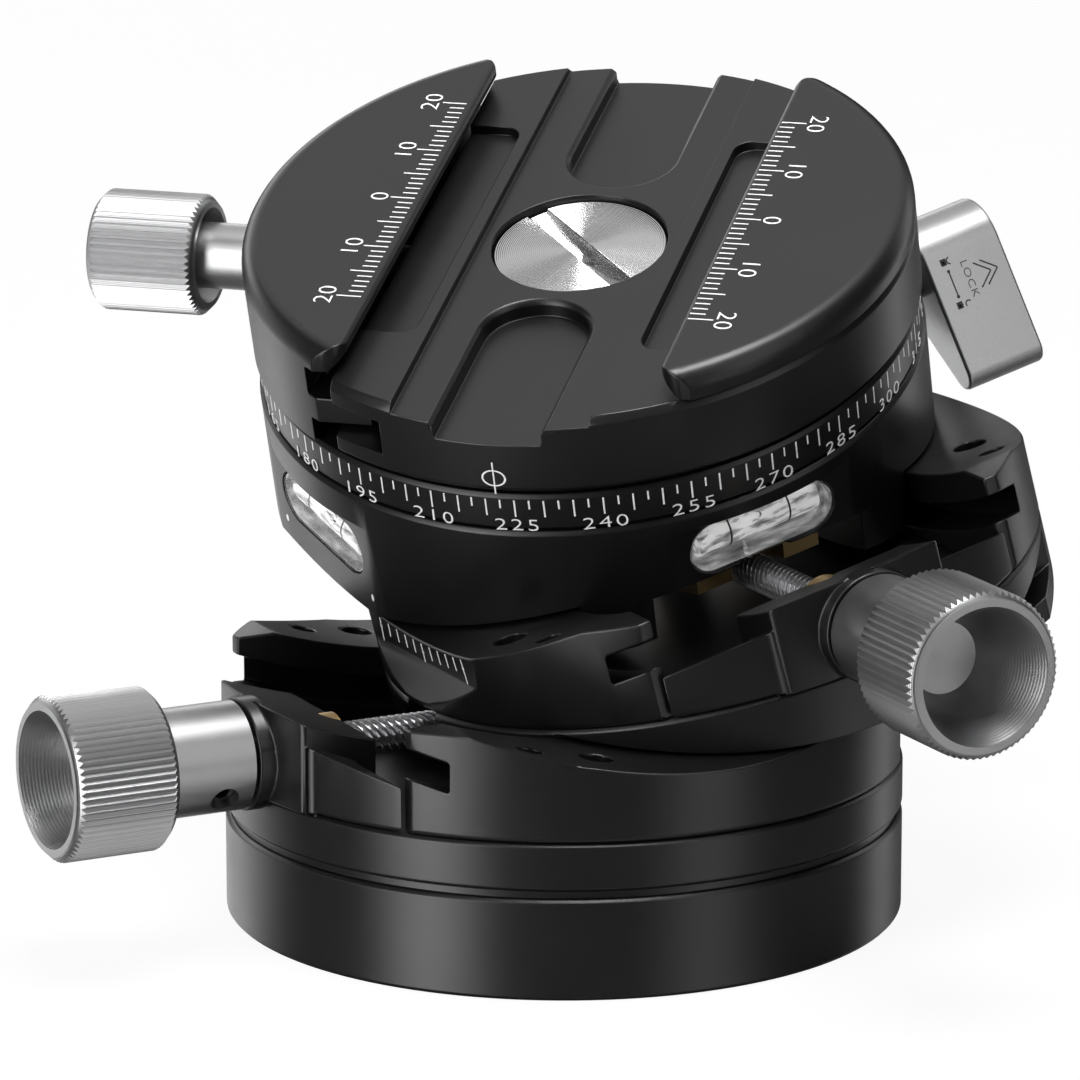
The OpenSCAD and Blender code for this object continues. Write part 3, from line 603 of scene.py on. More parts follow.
@dataclass(frozen=True)
class Streaked:
    """Inside of a clear moulding: painted streaks of light that glow, though it is no lamp."""

    name: str
    frame: Matrix
    tones: Tones
    size_mm: float
    detail: float = 4.0
    stretch: float = 0.3
    # Strength of the painted glow, though the moulding is no lamp
    glow: float = 0.4
    roughness: float = 0.12
    rough_streaks: float = 0.2
    depth_mm: float = 0.1
    strength: float = 0.3

    def material(self) -> bpy.types.Material:
        """Makes the finish.

        Returns:
            The material.
        """
        g = Graph.named(self.name)
        inputs = {"Vector": g.place(self.frame), "Scale": (self.stretch, 1, 1)}
        along = g.field("ShaderNodeMapping", "Vector", {}, inputs)
        streaks = g.noise(along, self.size_mm, self.detail)
        tone = g.tones(streaks, self.tones)
        return g.close(
            Base_Color=tone,
            Roughness=self.roughness + streaks * self.rough_streaks,
            Normal=g.bump(streaks, self.depth_mm, self.strength),
            # The streaked colour glows too: painted light
            Emission_Color=tone,
            Emission_Strength=self.glow,
        )


class Bench:
    """Modelling steps with Blender's own operators, one piece at a time, in millimetres."""

    # Width of a mark's broken edges, against its own width or radius
    STROKE_EDGE: ClassVar[float] = 0.18
    ROUND_EDGE: ClassVar[float] = 0.15
    # Sides of a dot, and degrees in each step of an arc, which has a least number of steps
    DOT_SIDES: ClassVar[int] = 20
    ARC_STEP: ClassVar[float] = 12
    ARC_LEAST: ClassVar[int] = 6

    @staticmethod
    def leave() -> None:
        """Leaves edit mode."""
        bpy.ops.object.mode_set(mode="OBJECT")

    @classmethod
    def clear(cls) -> None:
        """Leaves edit mode, if it is open, and deselects everything."""
        if bpy.context.object is not None and bpy.context.object.mode != "OBJECT":
            cls.leave()
        bpy.ops.object.select_all(action="DESELECT")

    @classmethod
    def take(cls, piece: Piece) -> Piece:
        """Selects one piece alone and makes it active.

        Args:
            piece: The piece.

        Returns:
            The piece.
        """
        cls.clear()
        piece.select_set(True)
        bpy.context.view_layer.objects.active = piece
        return piece

    @classmethod
    def edit(cls, piece: Piece, mode: str = "FACE") -> None:
        """Opens a piece in edit mode with all of it selected.

        Args:
            piece: The piece.
            mode: The select mode, FACE or VERT.
        """
        cls.take(piece)
        bpy.ops.object.mode_set(mode="EDIT")
        bpy.ops.mesh.select_mode(type=mode)
        bpy.ops.mesh.select_all(action="SELECT")

    @classmethod
    def _unselect(cls, piece: Piece, mode: str) -> None:
        """Deselects all of a piece and leaves edit mode.

        Args:
            piece: The piece.
            mode: The select mode, FACE or VERT.
        """
        cls.edit(piece, mode)
        bpy.ops.mesh.select_all(action="DESELECT")
        cls.leave()

    @classmethod
    def choose(cls, piece: Piece, test: Callable[[Vector], bool]) -> None:
        """Selects some faces of a piece and opens it in edit mode.

        Args:
            piece: The piece.
            test: Says yes to a face from its normal.
        """
        cls._unselect(piece, "FACE")
        for face in piece.data.polygons:
            face.select = test(face.normal)
        bpy.ops.object.mode_set(mode="EDIT")

    @classmethod
    def choose_points(cls, piece: Piece, test: Callable[[Vector], bool]) -> None:
        """Selects some points of a piece and opens it in edit mode.

        Args:
            piece: The piece.
            test: Says yes to a point from its place.
        """
        cls._unselect(piece, "VERT")
        for point in piece.data.vertices:
            point.select = test(point.co)
        bpy.ops.object.mode_set(mode="EDIT")

    @staticmethod
    def pull(height: float) -> None:
        """Extrudes what is selected along Z."""
        bpy.ops.mesh.extrude_region_move(TRANSFORM_OT_translate={"value": (0, 0, height)})

    @classmethod
    def chamfer(
        cls, piece: Piece, width: float, segments: int, test: Callable[[Vector], bool]
    ) -> None:
        """Breaks the edges of some faces of a piece.

        Args:
            piece: The piece.
            width: Width of the broken edges.
            segments: Number of faces across each.
            test: Says yes to a face from its normal.
        """
        cls.choose(piece, test)
        bpy.ops.mesh.bevel(offset=width, segments=segments, affect="EDGES")
        cls.leave()

    @classmethod
    def finish(cls, piece: Piece, name: str, smooth: float = 30.0) -> Piece:
        """Names a piece and shades it smooth up to an angle.

        Args:
            piece: The piece.
            name: Its name.
            smooth: Largest angle in degrees that is shaded smooth.

        Returns:
            The piece.
        """
        cls.take(piece)
        bpy.ops.object.shade_smooth_by_angle(angle=math.radians(smooth))
        piece.name = name
        piece.data.name = name
        return piece

    @classmethod
    def modify(cls, piece: Piece, kind: str, **settings: Any) -> None:
        """Adds a modifier to a piece and applies it.

        Args:
            piece: The piece.
            kind: The modifier's type.
            settings: Its settings by name.
        """
        cls.take(piece)
        modifier = piece.modifiers.new(kind.lower(), kind)
        for key, value in settings.items():
            setattr(modifier, key, value)
        bpy.ops.object.modifier_apply(modifier=modifier.name)

    @classmethod
    def untangle(cls, piece: Piece) -> None:
        """Merges the points of a face at a corner where its outline crosses itself.

        Args:
            piece: The piece, in metres.
        """
        points = piece.data.vertices
        for face in piece.data.polygons:
            ring = list(face.vertices)
            count = len(ring)
            flatten = face.normal.to_track_quat("Z", "Y").to_matrix().inverted()
            for start, gap in itertools.product(range(count), (2, 3, 4)):
                if gap > count - 3:
                    continue
                lines = (start, start + 1, start + gap, start + gap + 1)
                ends = [points[ring[k % count]].co for k in lines]
                a, b, c, d = ((flatten @ end).to_2d() for end in ends)
                hit = intersect_line_line_2d(a, b, c, d)
                if hit is None or (a - b).length < POINT:
                    continue
                corner = ends[0].lerp(ends[1], (hit - a).length / (b - a).length)
                for k in range(start + 1, start + gap + 1):
                    points[ring[k % count]].co = corner
        cls.edit(piece)
        bpy.ops.mesh.remove_doubles(threshold=POINT)
        cls.leave()

    @classmethod
    def put(cls, piece: Piece, frame: Matrix, scale: float = 1.0) -> Piece:
        """Moves a piece into a frame, with its place in its mesh.

        Args:
            piece: The piece.
            frame: The frame.
            scale: Metres in one of the frame's units.

        Returns:
            The piece.
        """
        cls.take(piece)
        piece.matrix_world = Matrix.Scale(scale, 4) @ frame
        bpy.ops.object.transform_apply(location=True, rotation=True, scale=True)
        return piece

    @staticmethod
    def add(name: str, mesh: bpy.types.Mesh) -> Piece:
        """Makes a piece with its own copy of a mesh.

        Args:
            name: Name of the piece.
            mesh: The mesh to copy.

        Returns:
            The piece.
        """
        piece = bpy.data.objects.new(name, mesh.copy())
        bpy.context.scene.collection.objects.link(piece)
        return piece

    @classmethod
    def copy(cls, piece: Piece, frame: Matrix) -> Piece:
        """Copies a piece into a frame and returns the copy."""
        return cls.put(cls.add(piece.name, piece.data), frame)

    @classmethod
    def join(cls, pieces: Sequence[Piece]) -> Piece:
        """Joins pieces into the first one.

        Args:
            pieces: The pieces, of which there is at least one.

        Returns:
            The joined piece.
        """
        cls.take(pieces[0])
        for piece in pieces:
            piece.select_set(True)
        if len(pieces) > 1:
            bpy.ops.object.join()
        return bpy.context.object

    @classmethod
    def gather(cls, pieces: Sequence[Piece], name: str, frame: Matrix) -> Piece:
        """Joins pieces that are modelled in millimetres, and places them in metres.

        Args:
            pieces: The pieces, of which there is at least one.
            name: Name of the joined piece.
            frame: The frame that they were modelled in.

        Returns:
            The joined piece.
        """
        return cls.finish(cls.put(cls.join(pieces), frame, MM), name)

    @classmethod
    def drop(cls, *pieces: Piece) -> None:
        """Deletes pieces that were only patterns or cutters.

        Args:
            pieces: The pieces.
        """
        cls.clear()
        for piece in pieces:
            bpy.data.objects.remove(piece)

    @classmethod
    def _sink(cls, thick: float) -> None:
        """Sinks the mark in hand to half its thickness, closes it and leaves edit mode.

        Args:
            thick: The mark's thickness.
        """
        bpy.ops.mesh.select_all(action="SELECT")
        bpy.ops.transform.translate(value=(0, 0, -thick / 2))
        bpy.ops.mesh.normals_make_consistent(inside=False)
        cls.leave()

    @classmethod
    def thicken(cls, piece: Piece, thick: float, edge: float) -> Piece:
        """Gives a flat piece on the XY plane a thickness and broken upper edges.

        Args:
            piece: The flat piece.
            thick: Its thickness, half of it sunk below the plane.
            edge: Width of the broken edges.

        Returns:
            The piece.
        """
        cls.edit(piece)
        cls.pull(thick)
        bpy.ops.mesh.bevel(offset=edge, segments=1, affect="EDGES")
        cls._sink(thick)
        return piece

    @classmethod
    def stroke(cls, width: float, length: float, thick: float) -> Piece:
        """Makes a painted stroke that hangs down from the origin along -Y.

        Args:
            width: Width of the stroke.
            length: Length of the stroke.
            thick: Thickness of the paint.

        Returns:
            The stroke.
        """
        cls.clear()
        bpy.ops.mesh.primitive_plane_add(size=1)
        piece = bpy.context.object
        cls.edit(piece)
        bpy.ops.transform.resize(value=(width, length, 1))
        bpy.ops.transform.translate(value=(0, -length / 2, 0))
        return cls.thicken(piece, thick, width * cls.STROKE_EDGE)

    @classmethod
    def ticks(cls, width: float, long: float, short: float, thick: float) -> dict[bool, Piece]:
        """Returns the patterns of a scale's ticks, the long one under True."""
        lengths = {True: long, False: short}
        return {kind: cls.stroke(width, length, thick) for kind, length in lengths.items()}

    @classmethod
    def dot(cls, radius: float, thick: float) -> Piece:
        """Makes a painted dot at the origin.

        Args:
            radius: Radius of the dot.
            thick: Thickness of the paint.

        Returns:
            The dot.
        """
        cls.clear()
        bpy.ops.mesh.primitive_circle_add(
            vertices=cls.DOT_SIDES, radius=radius, fill_type="NGON"
        )
        return cls.thicken(bpy.context.object, thick, radius * cls.ROUND_EDGE)

    @classmethod
    def arc(cls, radius: float, width: float, sweep: float, thick: float) -> Piece:
        """Makes a painted arc round the origin, from the X axis on.

        Args:
            radius: Radius of its middle line.
            width: Width of the line.
            sweep: How far it goes, in degrees.
            thick: Thickness of the paint.

        Returns:
            The arc.
        """
        cls.clear()
        bpy.ops.mesh.primitive_plane_add(size=width)
        piece = bpy.context.object
        cls.choose_points(piece, lambda co: co.y > 0)
        bpy.ops.mesh.delete(type="VERT")
        bpy.ops.mesh.select_all(action="SELECT")
        bpy.ops.transform.translate(value=(radius, width / 2, 0))
        steps = max(cls.ARC_LEAST, round(sweep / cls.ARC_STEP))
        bpy.ops.mesh.spin(
            steps=steps, angle=math.radians(sweep), center=(0, 0, 0), axis=(0, 0, 1)
        )
        bpy.ops.mesh.select_all(action="SELECT")
        bpy.ops.mesh.remove_doubles(threshold=width * 0.05)
        cls.leave()
        return cls.thicken(piece, thick, width * cls.ROUND_EDGE)

    @classmethod
    def lettering(
        cls, text: str, height: float, stretch: float, spacing: float, thick: float
    ) -> Piece:
        """Makes painted letters or digits, centred on the origin.

        Args:
            text: What they say.
            height: Height of the digits.
            stretch: Their width, against the plain letters.
            spacing: Distance between letters, against the plain one.
            thick: Thickness of the paint.

        Returns:
            The lettering.
        """
        cls.clear()
        bpy.ops.object.text_add()
        letters = bpy.context.object.data
        letters.body = text
        letters.space_character = spacing
        letters.offset = THIN
        letters.resolution_u = 4
        bpy.ops.object.convert(target="MESH")
        piece = bpy.context.object
        low, high = (Vector(piece.bound_box[k]) for k in (0, 6))
        size = height / (high.y - low.y)
        fit = Matrix.Diagonal((size * stretch, size, size, 1))
        cls.put(piece, fit @ Matrix.Translation(-(low + high) / 2))
        cls.edit(piece)
        bpy.ops.mesh.remove_doubles(threshold=height * 0.002)
        bpy.ops.mesh.dissolve_limited(angle_limit=math.radians(1))
        cls.pull(thick)
        cls._sink(thick)
        return piece

    @classmethod
    def drum(cls, radius: float, depth: float, sides: int, z: float = 0.0) -> Piece:
        """Makes a drum, as a start or a cutter.

        Args:
            radius: Radius of the drum.
            depth: Its height.
            sides: Number of its sides.
            z: Height that it stands on.

        Returns:
            The drum.
        """
        cls.clear()
        middle = (0, 0, z + depth / 2)
        bpy.ops.mesh.primitive_cylinder_add(
            vertices=sides, radius=radius, depth=depth, location=middle
        )
        bpy.ops.object.transform_apply(location=True, rotation=True, scale=True)
        return bpy.context.object

    @classmethod
    def cut(cls, piece: Piece, cutter: Piece) -> None:
        """Cuts one piece out of another and deletes the cutter."""
        cls.modify(piece, "BOOLEAN", operation="DIFFERENCE", object=cutter, solver="EXACT")
        cls.drop(cutter)


@dataclass
class Dresser:
    """Gives pieces their finish and the body that they ride on."""

    frame: Mapping[str, Any]
    finishes: dict[str, bpy.types.Material]
    # Angles in degrees of flat faces, of edges to break and of edges to shade smooth
    FLAT: ClassVar[float] = 0.2
    SHARP: ClassVar[float] = 32
    SMOOTH: ClassVar[float] = 50
    # Untangling a corner can bare another one, so it is done a few times
    ROUNDS: ClassVar[int] = 3

    def dress(self, piece: Piece, finish: str, body: Body, slot: Slot) -> Piece:
        """Finishes a new piece.

        Args:
            piece: The piece, in place.
            finish: Name of its finish.
            body: The body that it rides on.
            slot: Not used.

        Returns:
            The piece.
        """
        piece.data.materials.clear()
        piece.data.materials.append(self.finishes[finish])
        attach(piece, body.value)
        LOG.info("%s rides %s in %s", piece.name, body.value, finish)
        return piece

    def coat(self, node: str, finish: str) -> None:
        """Puts a finish on a solid that shows as it is.

        Args:
            node: The solid's name.
            finish: Name of the finish.
        """
        for place in self.frame["nodes"][node].material_slots:
            place.link = "OBJECT"
            place.material = self.finishes[finish]
        LOG.info("%s is coated in %s", node, finish)

    def skin(self, node: str, finish: str, body: Body, slot: Slot, edge_mm: float) -> None:
        """Makes a skin with broken edges that stands for a solid.

        Args:
            node: The solid's name.
            finish: Name of its finish.
            body: The body that carries it.
            slot: The record's slot for it.
            edge_mm: Width of the broken edges.
        """
        name = f"{node}_skin"
        piece = Bench.add(name, self.frame["nodes"][node].data)
        Bench.edit(piece)
        bpy.ops.mesh.remove_doubles(threshold=POINT)
        bpy.ops.mesh.dissolve_limited(angle_limit=math.radians(self.FLAT))
        Bench.leave()
        bpy.ops.mesh.customdata_custom_splitnormals_clear()
        if edge_mm > 0:
            Bench.modify(
                piece,
                "BEVEL",
                width=edge_mm * MM,
                segments=2,
                limit_method="ANGLE",
                angle_limit=math.radians(self.SHARP),
                use_clamp_overlap=False,
                miter_outer="MITER_ARC",
            )
            for _ in range(self.ROUNDS):
                Bench.untangle(piece)
        Bench.finish(piece, name, self.SMOOTH)
        Bench.modify(piece, "WEIGHTED_NORMAL", keep_sharp=True)
        self.dress(piece, finish, body, slot)
        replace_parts(piece, node)


@dataclass
class Solids:
    """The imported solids, each with its finish."""

    dresser: Dresser

    def build(self) -> None:
        """Skins or coats every solid."""
        black = {
            "base_plate": (Body.BASE, 0.12),
            "lower_stage_plate": (Body.BASE, 0.12),
            "lower_rail_front": (Body.BASE, 0.26),
            "lower_rail_back": (Body.BASE, 0.26),
            "lower_knob_block": (Body.BASE, 0.25),
            "middle_plate": (Body.MIDDLE, 0.14),
            "upper_rail_right": (Body.MIDDLE, 0.26),
            "upper_rail_left": (Body.MIDDLE, 0.26),
            "upper_knob_block": (Body.MIDDLE, 0.25),
            "top_body": (Body.TOP, 0.11),
            "degree_ring": (Body.TOP, 0.08),
            "clamp_base": (Body.CLAMP, 0.15),
            "moving_jaw": (Body.JAW, 0.18),
        }
        for node, (body, edge) in black.items():
            self.dresser.skin(node, "black", body, Slot.BLACK, edge)
        bright = (
            ("lower_knob", "lower_silver", Body.LOWER_DRIVE, Slot.SILVER, 0.0),
            ("upper_knob", "upper_silver", Body.UPPER_DRIVE, Slot.SILVER, 0.0),
            ("clamp_knob", "clamp_silver", Body.CLAMP_DRIVE, Slot.SILVER, 0.0),
            ("lock_lever", "silver", Body.LEVER, Slot.SILVER, 0.35),
            ("middle_screw", "screw_face", Body.TOP, Slot.STEEL, 0.15),
        )
        for row in bright:
            self.dresser.skin(*row)
        coats = {
            "steel": (
                "lower_worm", "upper_worm", "lower_worm_post", "upper_worm_post",
                "lower_rail_dowels", "upper_rail_dowels", "pan_spindle", "lever_shaft",
                "jaw_guide_pins", "clamp_screw",
            ),
            "brass": (
                "lower_rack", "upper_rack", "lower_shaft_bush", "upper_shaft_bush",
                "slip_washer", "brake_shoe",
            ),
        }
        for finish, nodes in coats.items():
            for node in nodes:
                self.dresser.coat(node, finish)


@dataclass
class DegreeScale:
    """Ticks and numbers round the degree ring, and the index mark on the clamp above it."""

    dresser: Dresser
    places: Places
    ring_r: float = 35.6
    top_z: float = 57.1
    number_z: float = 54.08
    turn: float = 2.1
    step: float = 2.5
    long_every: int = 2
    number_every: int = 15
    tick_w: float = 0.19
    long_l: float = 2.05
    short_l: float = 1.07
    digit_h: float = 1.38
    digit_stretch: float = 1.42
    digit_spacing: float = 1.2
    paint: float = 0.06
    clamp_r: float = 36.0
    index_at: float = 224.35
    index_z: float = 60.05
    index_w: float = 0.17
    index_l: float = 3.9
    oval_r: float = 1.0
    oval_shape: Pair = (1.22, 0.93)

    def build(self) -> None:
        """Builds the ticks, the numbers and the index mark."""
        marks = Bench.ticks(self.tick_w, self.long_l, self.short_l, self.paint)
        ticks = []
        for i in range(round(360 / self.step)):
            spot = on_drum(self.ring_r, i * self.step + self.turn, self.top_z)
            ticks.append(Bench.copy(marks[i % self.long_every == 0], spot))
        Bench.drop(*marks.values())
        self._paint(ticks, "degree_ticks", Body.TOP)
        numbers = []
        for value in range(0, 360, self.number_every):
            word = Bench.lettering(
                str(value), self.digit_h, self.digit_stretch, self.digit_spacing, self.paint
            )
            spot = on_drum(self.ring_r, value + self.turn, self.number_z)
            numbers.append(Bench.put(word, spot))
        self._paint(numbers, "degree_numbers", Body.TOP)
        self._paint(self._index(), "index_mark", Body.CLAMP)

    def _paint(self, marks: Sequence[Piece], name: str, body: Body) -> None:
        """Joins marks that were made in the top body's frame, and paints them white.

        Args:
            marks: The marks.
            name: Name of the joined piece.
            body: The body that it rides on.
        """
        whole = Bench.gather(marks, name, self.places.top())
        self.dresser.dress(whole, "white", body, Slot.BLACK)

    def _index(self) -> list[Piece]:
        """Makes the index mark.

        Returns:
            An upright line and an oval, in the top body's frame.
        """
        spot = on_drum(self.clamp_r, self.index_at, self.index_z)
        line = Bench.stroke(self.index_w, self.index_l, self.paint)
        oval = Bench.arc(self.oval_r, self.index_w, 360, self.paint)
        return [
            Bench.put(line, spot @ moved(0, self.index_l / 2, 0)),
            Bench.put(oval, spot @ Matrix.Diagonal((*self.oval_shape, 1, 1))),
        ]


@dataclass
class JawScale:
    """The millimetre scale along one jaw."""

    dresser: Dresser
    places: Places
    name: str
    body: Body
    side: int
    inner: float
    z: float = 70.3
    reach: int = 20
    pitch: float = 0.975
    start: float = 0.1
    long_every: int = 5
    number_every: int = 10
    tick_w: float = 0.2
    long_l: float = 2.75
    short_l: float = 1.66
    digit_h: float = 1.95
    digit_stretch: float = 1.15
    digit_spacing: float = 1.06
    gap: float = 0.25
    paint: float = 0.05

    def build(self) -> None:
        """Builds the ticks and the numbers."""
        marks = Bench.ticks(self.tick_w, self.long_l, self.short_l, self.paint)
        pieces = []
        for i in range(-self.reach, self.reach + 1):
            long = i % self.long_every == 0
            outer = self.inner + (self.long_l if long else self.short_l)
            pieces.append(Bench.copy(marks[long], self._seat(outer, i)))
        Bench.drop(*marks.values())
        middle = self.inner + self.long_l + self.gap + self.digit_h / 2
        for value in range(-self.reach, self.reach + 1, self.number_every):
            word = Bench.lettering(
                str(abs(value)), self.digit_h, self.digit_stretch, self.digit_spacing, self.paint
            )
            pieces.append(Bench.put(word, self._seat(middle, value)))
        whole = Bench.gather(pieces, self.name, self.places.clamp())
        self.dresser.dress(whole, "white", self.body, Slot.BLACK)

    def _seat(self, outwards: float, mark: int) -> Matrix:
        """Returns the frame of a mark on the jaw's top, at a distance from the middle plane."""
        spot = (self.side * outwards, mark * self.pitch + self.start, self.z)
        return seat(spot, (0, -self.side, 0), (self.side, 0, 0))


@dataclass
class TiltScale:
    """The tilt scale on the facet of a rail, in the frame of the rail's stage."""

    dresser: Dresser
    name: str
    frame: Matrix
    body: Body
    facet_y: float = 33.9
    arc_h: float = 81.6
    tick_r: float = 75.1
    long_l: float = 3.0
    short_l: float = 1.6
    pitch: float = 1.466
    side: int = 5
    tick_w: float = 0.26
    dot_r: float = 0.24
    dot_up: float = 1.05
    paint: float = 0.05

    def build(self) -> None:
        """Builds the ticks, fanned about the arc's centre, and a dot on each long one."""
        marks = Bench.ticks(self.tick_w, self.long_l, self.short_l, self.paint)
        dot = Bench.dot(self.dot_r, self.paint)
        pieces = []
        for i in range(-self.side, self.side + 1):
            angle = math.radians(i * self.pitch)
            long = i % self.side == 0
            pieces.append(Bench.copy(marks[long], self._seat(self.tick_r, angle)))
            if long:
                pieces.append(Bench.copy(dot, self._seat(self.tick_r + self.dot_up, angle)))
        Bench.drop(dot, *marks.values())
        whole = Bench.gather(pieces, self.name, self.frame)
        self.dresser.dress(whole, "white", self.body, Slot.BLACK)

    def _seat(self, radius: float, angle: float) -> Matrix:
        """Finds a spot on the facet.

        Args:
            radius: Distance from the arc's centre.
            angle: Angle about that centre, in radians.

        Returns:
            The spot's frame, with Y towards the centre.
        """
        sine, cosine = math.sin(angle), math.cos(angle)
        spot = (radius * sine, self.facet_y, self.arc_h - radius * cosine)
        return seat(spot, (-cosine, 0, -sine), (-sine, 0, cosine))


@dataclass
class LimitDots:
    """The two white dots at the foot of the top body's left flat."""

    dresser: Dresser
    places: Places
    flat_x: float = -34.4
    spots: tuple[Pair, ...] = ((8.9, 40.6), (-10.1, 40.5))
    dot_r: float = 0.5
    narrow: float = 0.6
    paint: float = 0.05

    def build(self) -> None:
        """Builds the dots as short upright ovals."""
        dots = []
        for y, z in self.spots:
            oval = Bench.dot(self.dot_r, self.paint)
            Bench.put(oval, Matrix.Diagonal((self.narrow, 1, 1, 1)))
            dots.append(Bench.put(oval, seat((self.flat_x, y, z), (0, -1, 0), (0, 0, 1))))
        whole = Bench.gather(dots, "limit_dots", self.places.top())
        self.dresser.dress(whole, "white", Body.TOP, Slot.BLACK)


@dataclass
class LeverSigns:
    """The signs printed on the lock lever's face."""

    dresser: Dresser
    places: Places
    face: float = 5.0
    paint: float = 0.05
    word: str = "LOCK"
    word_at: Pair = (44.05, -3.4)
    word_h: float = 0.84
    word_stretch: float = 1.22
    word_spacing: float = 1.12
    line_w: float = 0.2
    line_l: float = 3.0
    line_at: Pair = (41.95, -1.77)
    dot_r: float = 0.2
    dots_at: tuple[Pair, ...] = ((41.95, -1.8), (41.95, -4.75))
    shut_at: Pair = (42.3, -0.68)
    open_at: Pair = (42.3, -5.7)
    open_swing: float = 55.0
    case_w: float = 1.15
    case_l: float = 1.1
    keyhole_r: float = 0.17
    keyhole_y: float = -0.52
    shackle_r: float = 0.36
    shackle_w: float = 0.16
    shackle_y: float = 0.24
    heads_at: tuple[Pair, ...] = ((47.66, -3.33), (46.79, -3.36))
    arm_l: float = 2.27
    arm_lean: float = 39.5

    def build(self) -> None:
        """Builds the word, the line with its dots, the two padlocks and the arrow heads."""
        word = Bench.lettering(
            self.word, self.word_h, self.word_stretch, self.word_spacing, self.paint
        )
        line = Bench.stroke(self.line_w, self.line_l, self.paint)
        signs = [self._at(word, self.word_at, -90), self._at(line, self.line_at, 0)]
        for spot in self.dots_at:
            signs.append(self._at(Bench.dot(self.dot_r, self.paint), spot, 0))
        for spot, swing in ((self.shut_at, 0.0), (self.open_at, self.open_swing)):
            signs.append(self._at(self._padlock(swing), spot, -90))
        for spot in self.heads_at:
            signs.append(self._at(self._arrow_head(), spot, -90))
        whole = Bench.gather(signs, "lever_signs", self.places.lever())
        self.dresser.dress(whole, "ink", Body.LEVER, Slot.SILVER)

    def _at(self, piece: Piece, spot: Pair, turn: float) -> Piece:
        """Puts a sign on the lever's face, turned by some degrees, and returns it."""
        return Bench.put(piece, moved(*spot, self.face) @ turned(turn, "Z"))

    def _arrow_head(self) -> Piece:
        """Makes an arrow head.

        Returns:
            The arrow head, which points along +Y.
        """
        arms = []
        for side in (-1, 1):
            arm = Bench.stroke(self.line_w, self.arm_l, self.paint)
            arms.append(Bench.put(arm, turned(self.arm_lean * side, "Z")))
        return Bench.join(arms)

    def _padlock(self, swing: float) -> Piece:
        """Returns a padlock sign.

        Args:
            swing: How far the shackle is swung open, in degrees.

        Returns:
            The sign, with the top of its case on the origin.
        """
        case = Bench.stroke(self.case_w, self.case_l, self.paint)
        keyhole = Bench.drum(self.keyhole_r, 1, 12, -0.5)
        Bench.cut(case, Bench.put(keyhole, moved(0, self.keyhole_y, 0)))
        shackle = Bench.arc(self.shackle_r, self.shackle_w, 180, self.paint)
        hinge = moved(self.shackle_r, self.shackle_y, 0)
        Bench.put(shackle, hinge @ turned(-swing, "Z") @ moved(-self.shackle_r, 0, 0))
        return Bench.join([case, shackle])


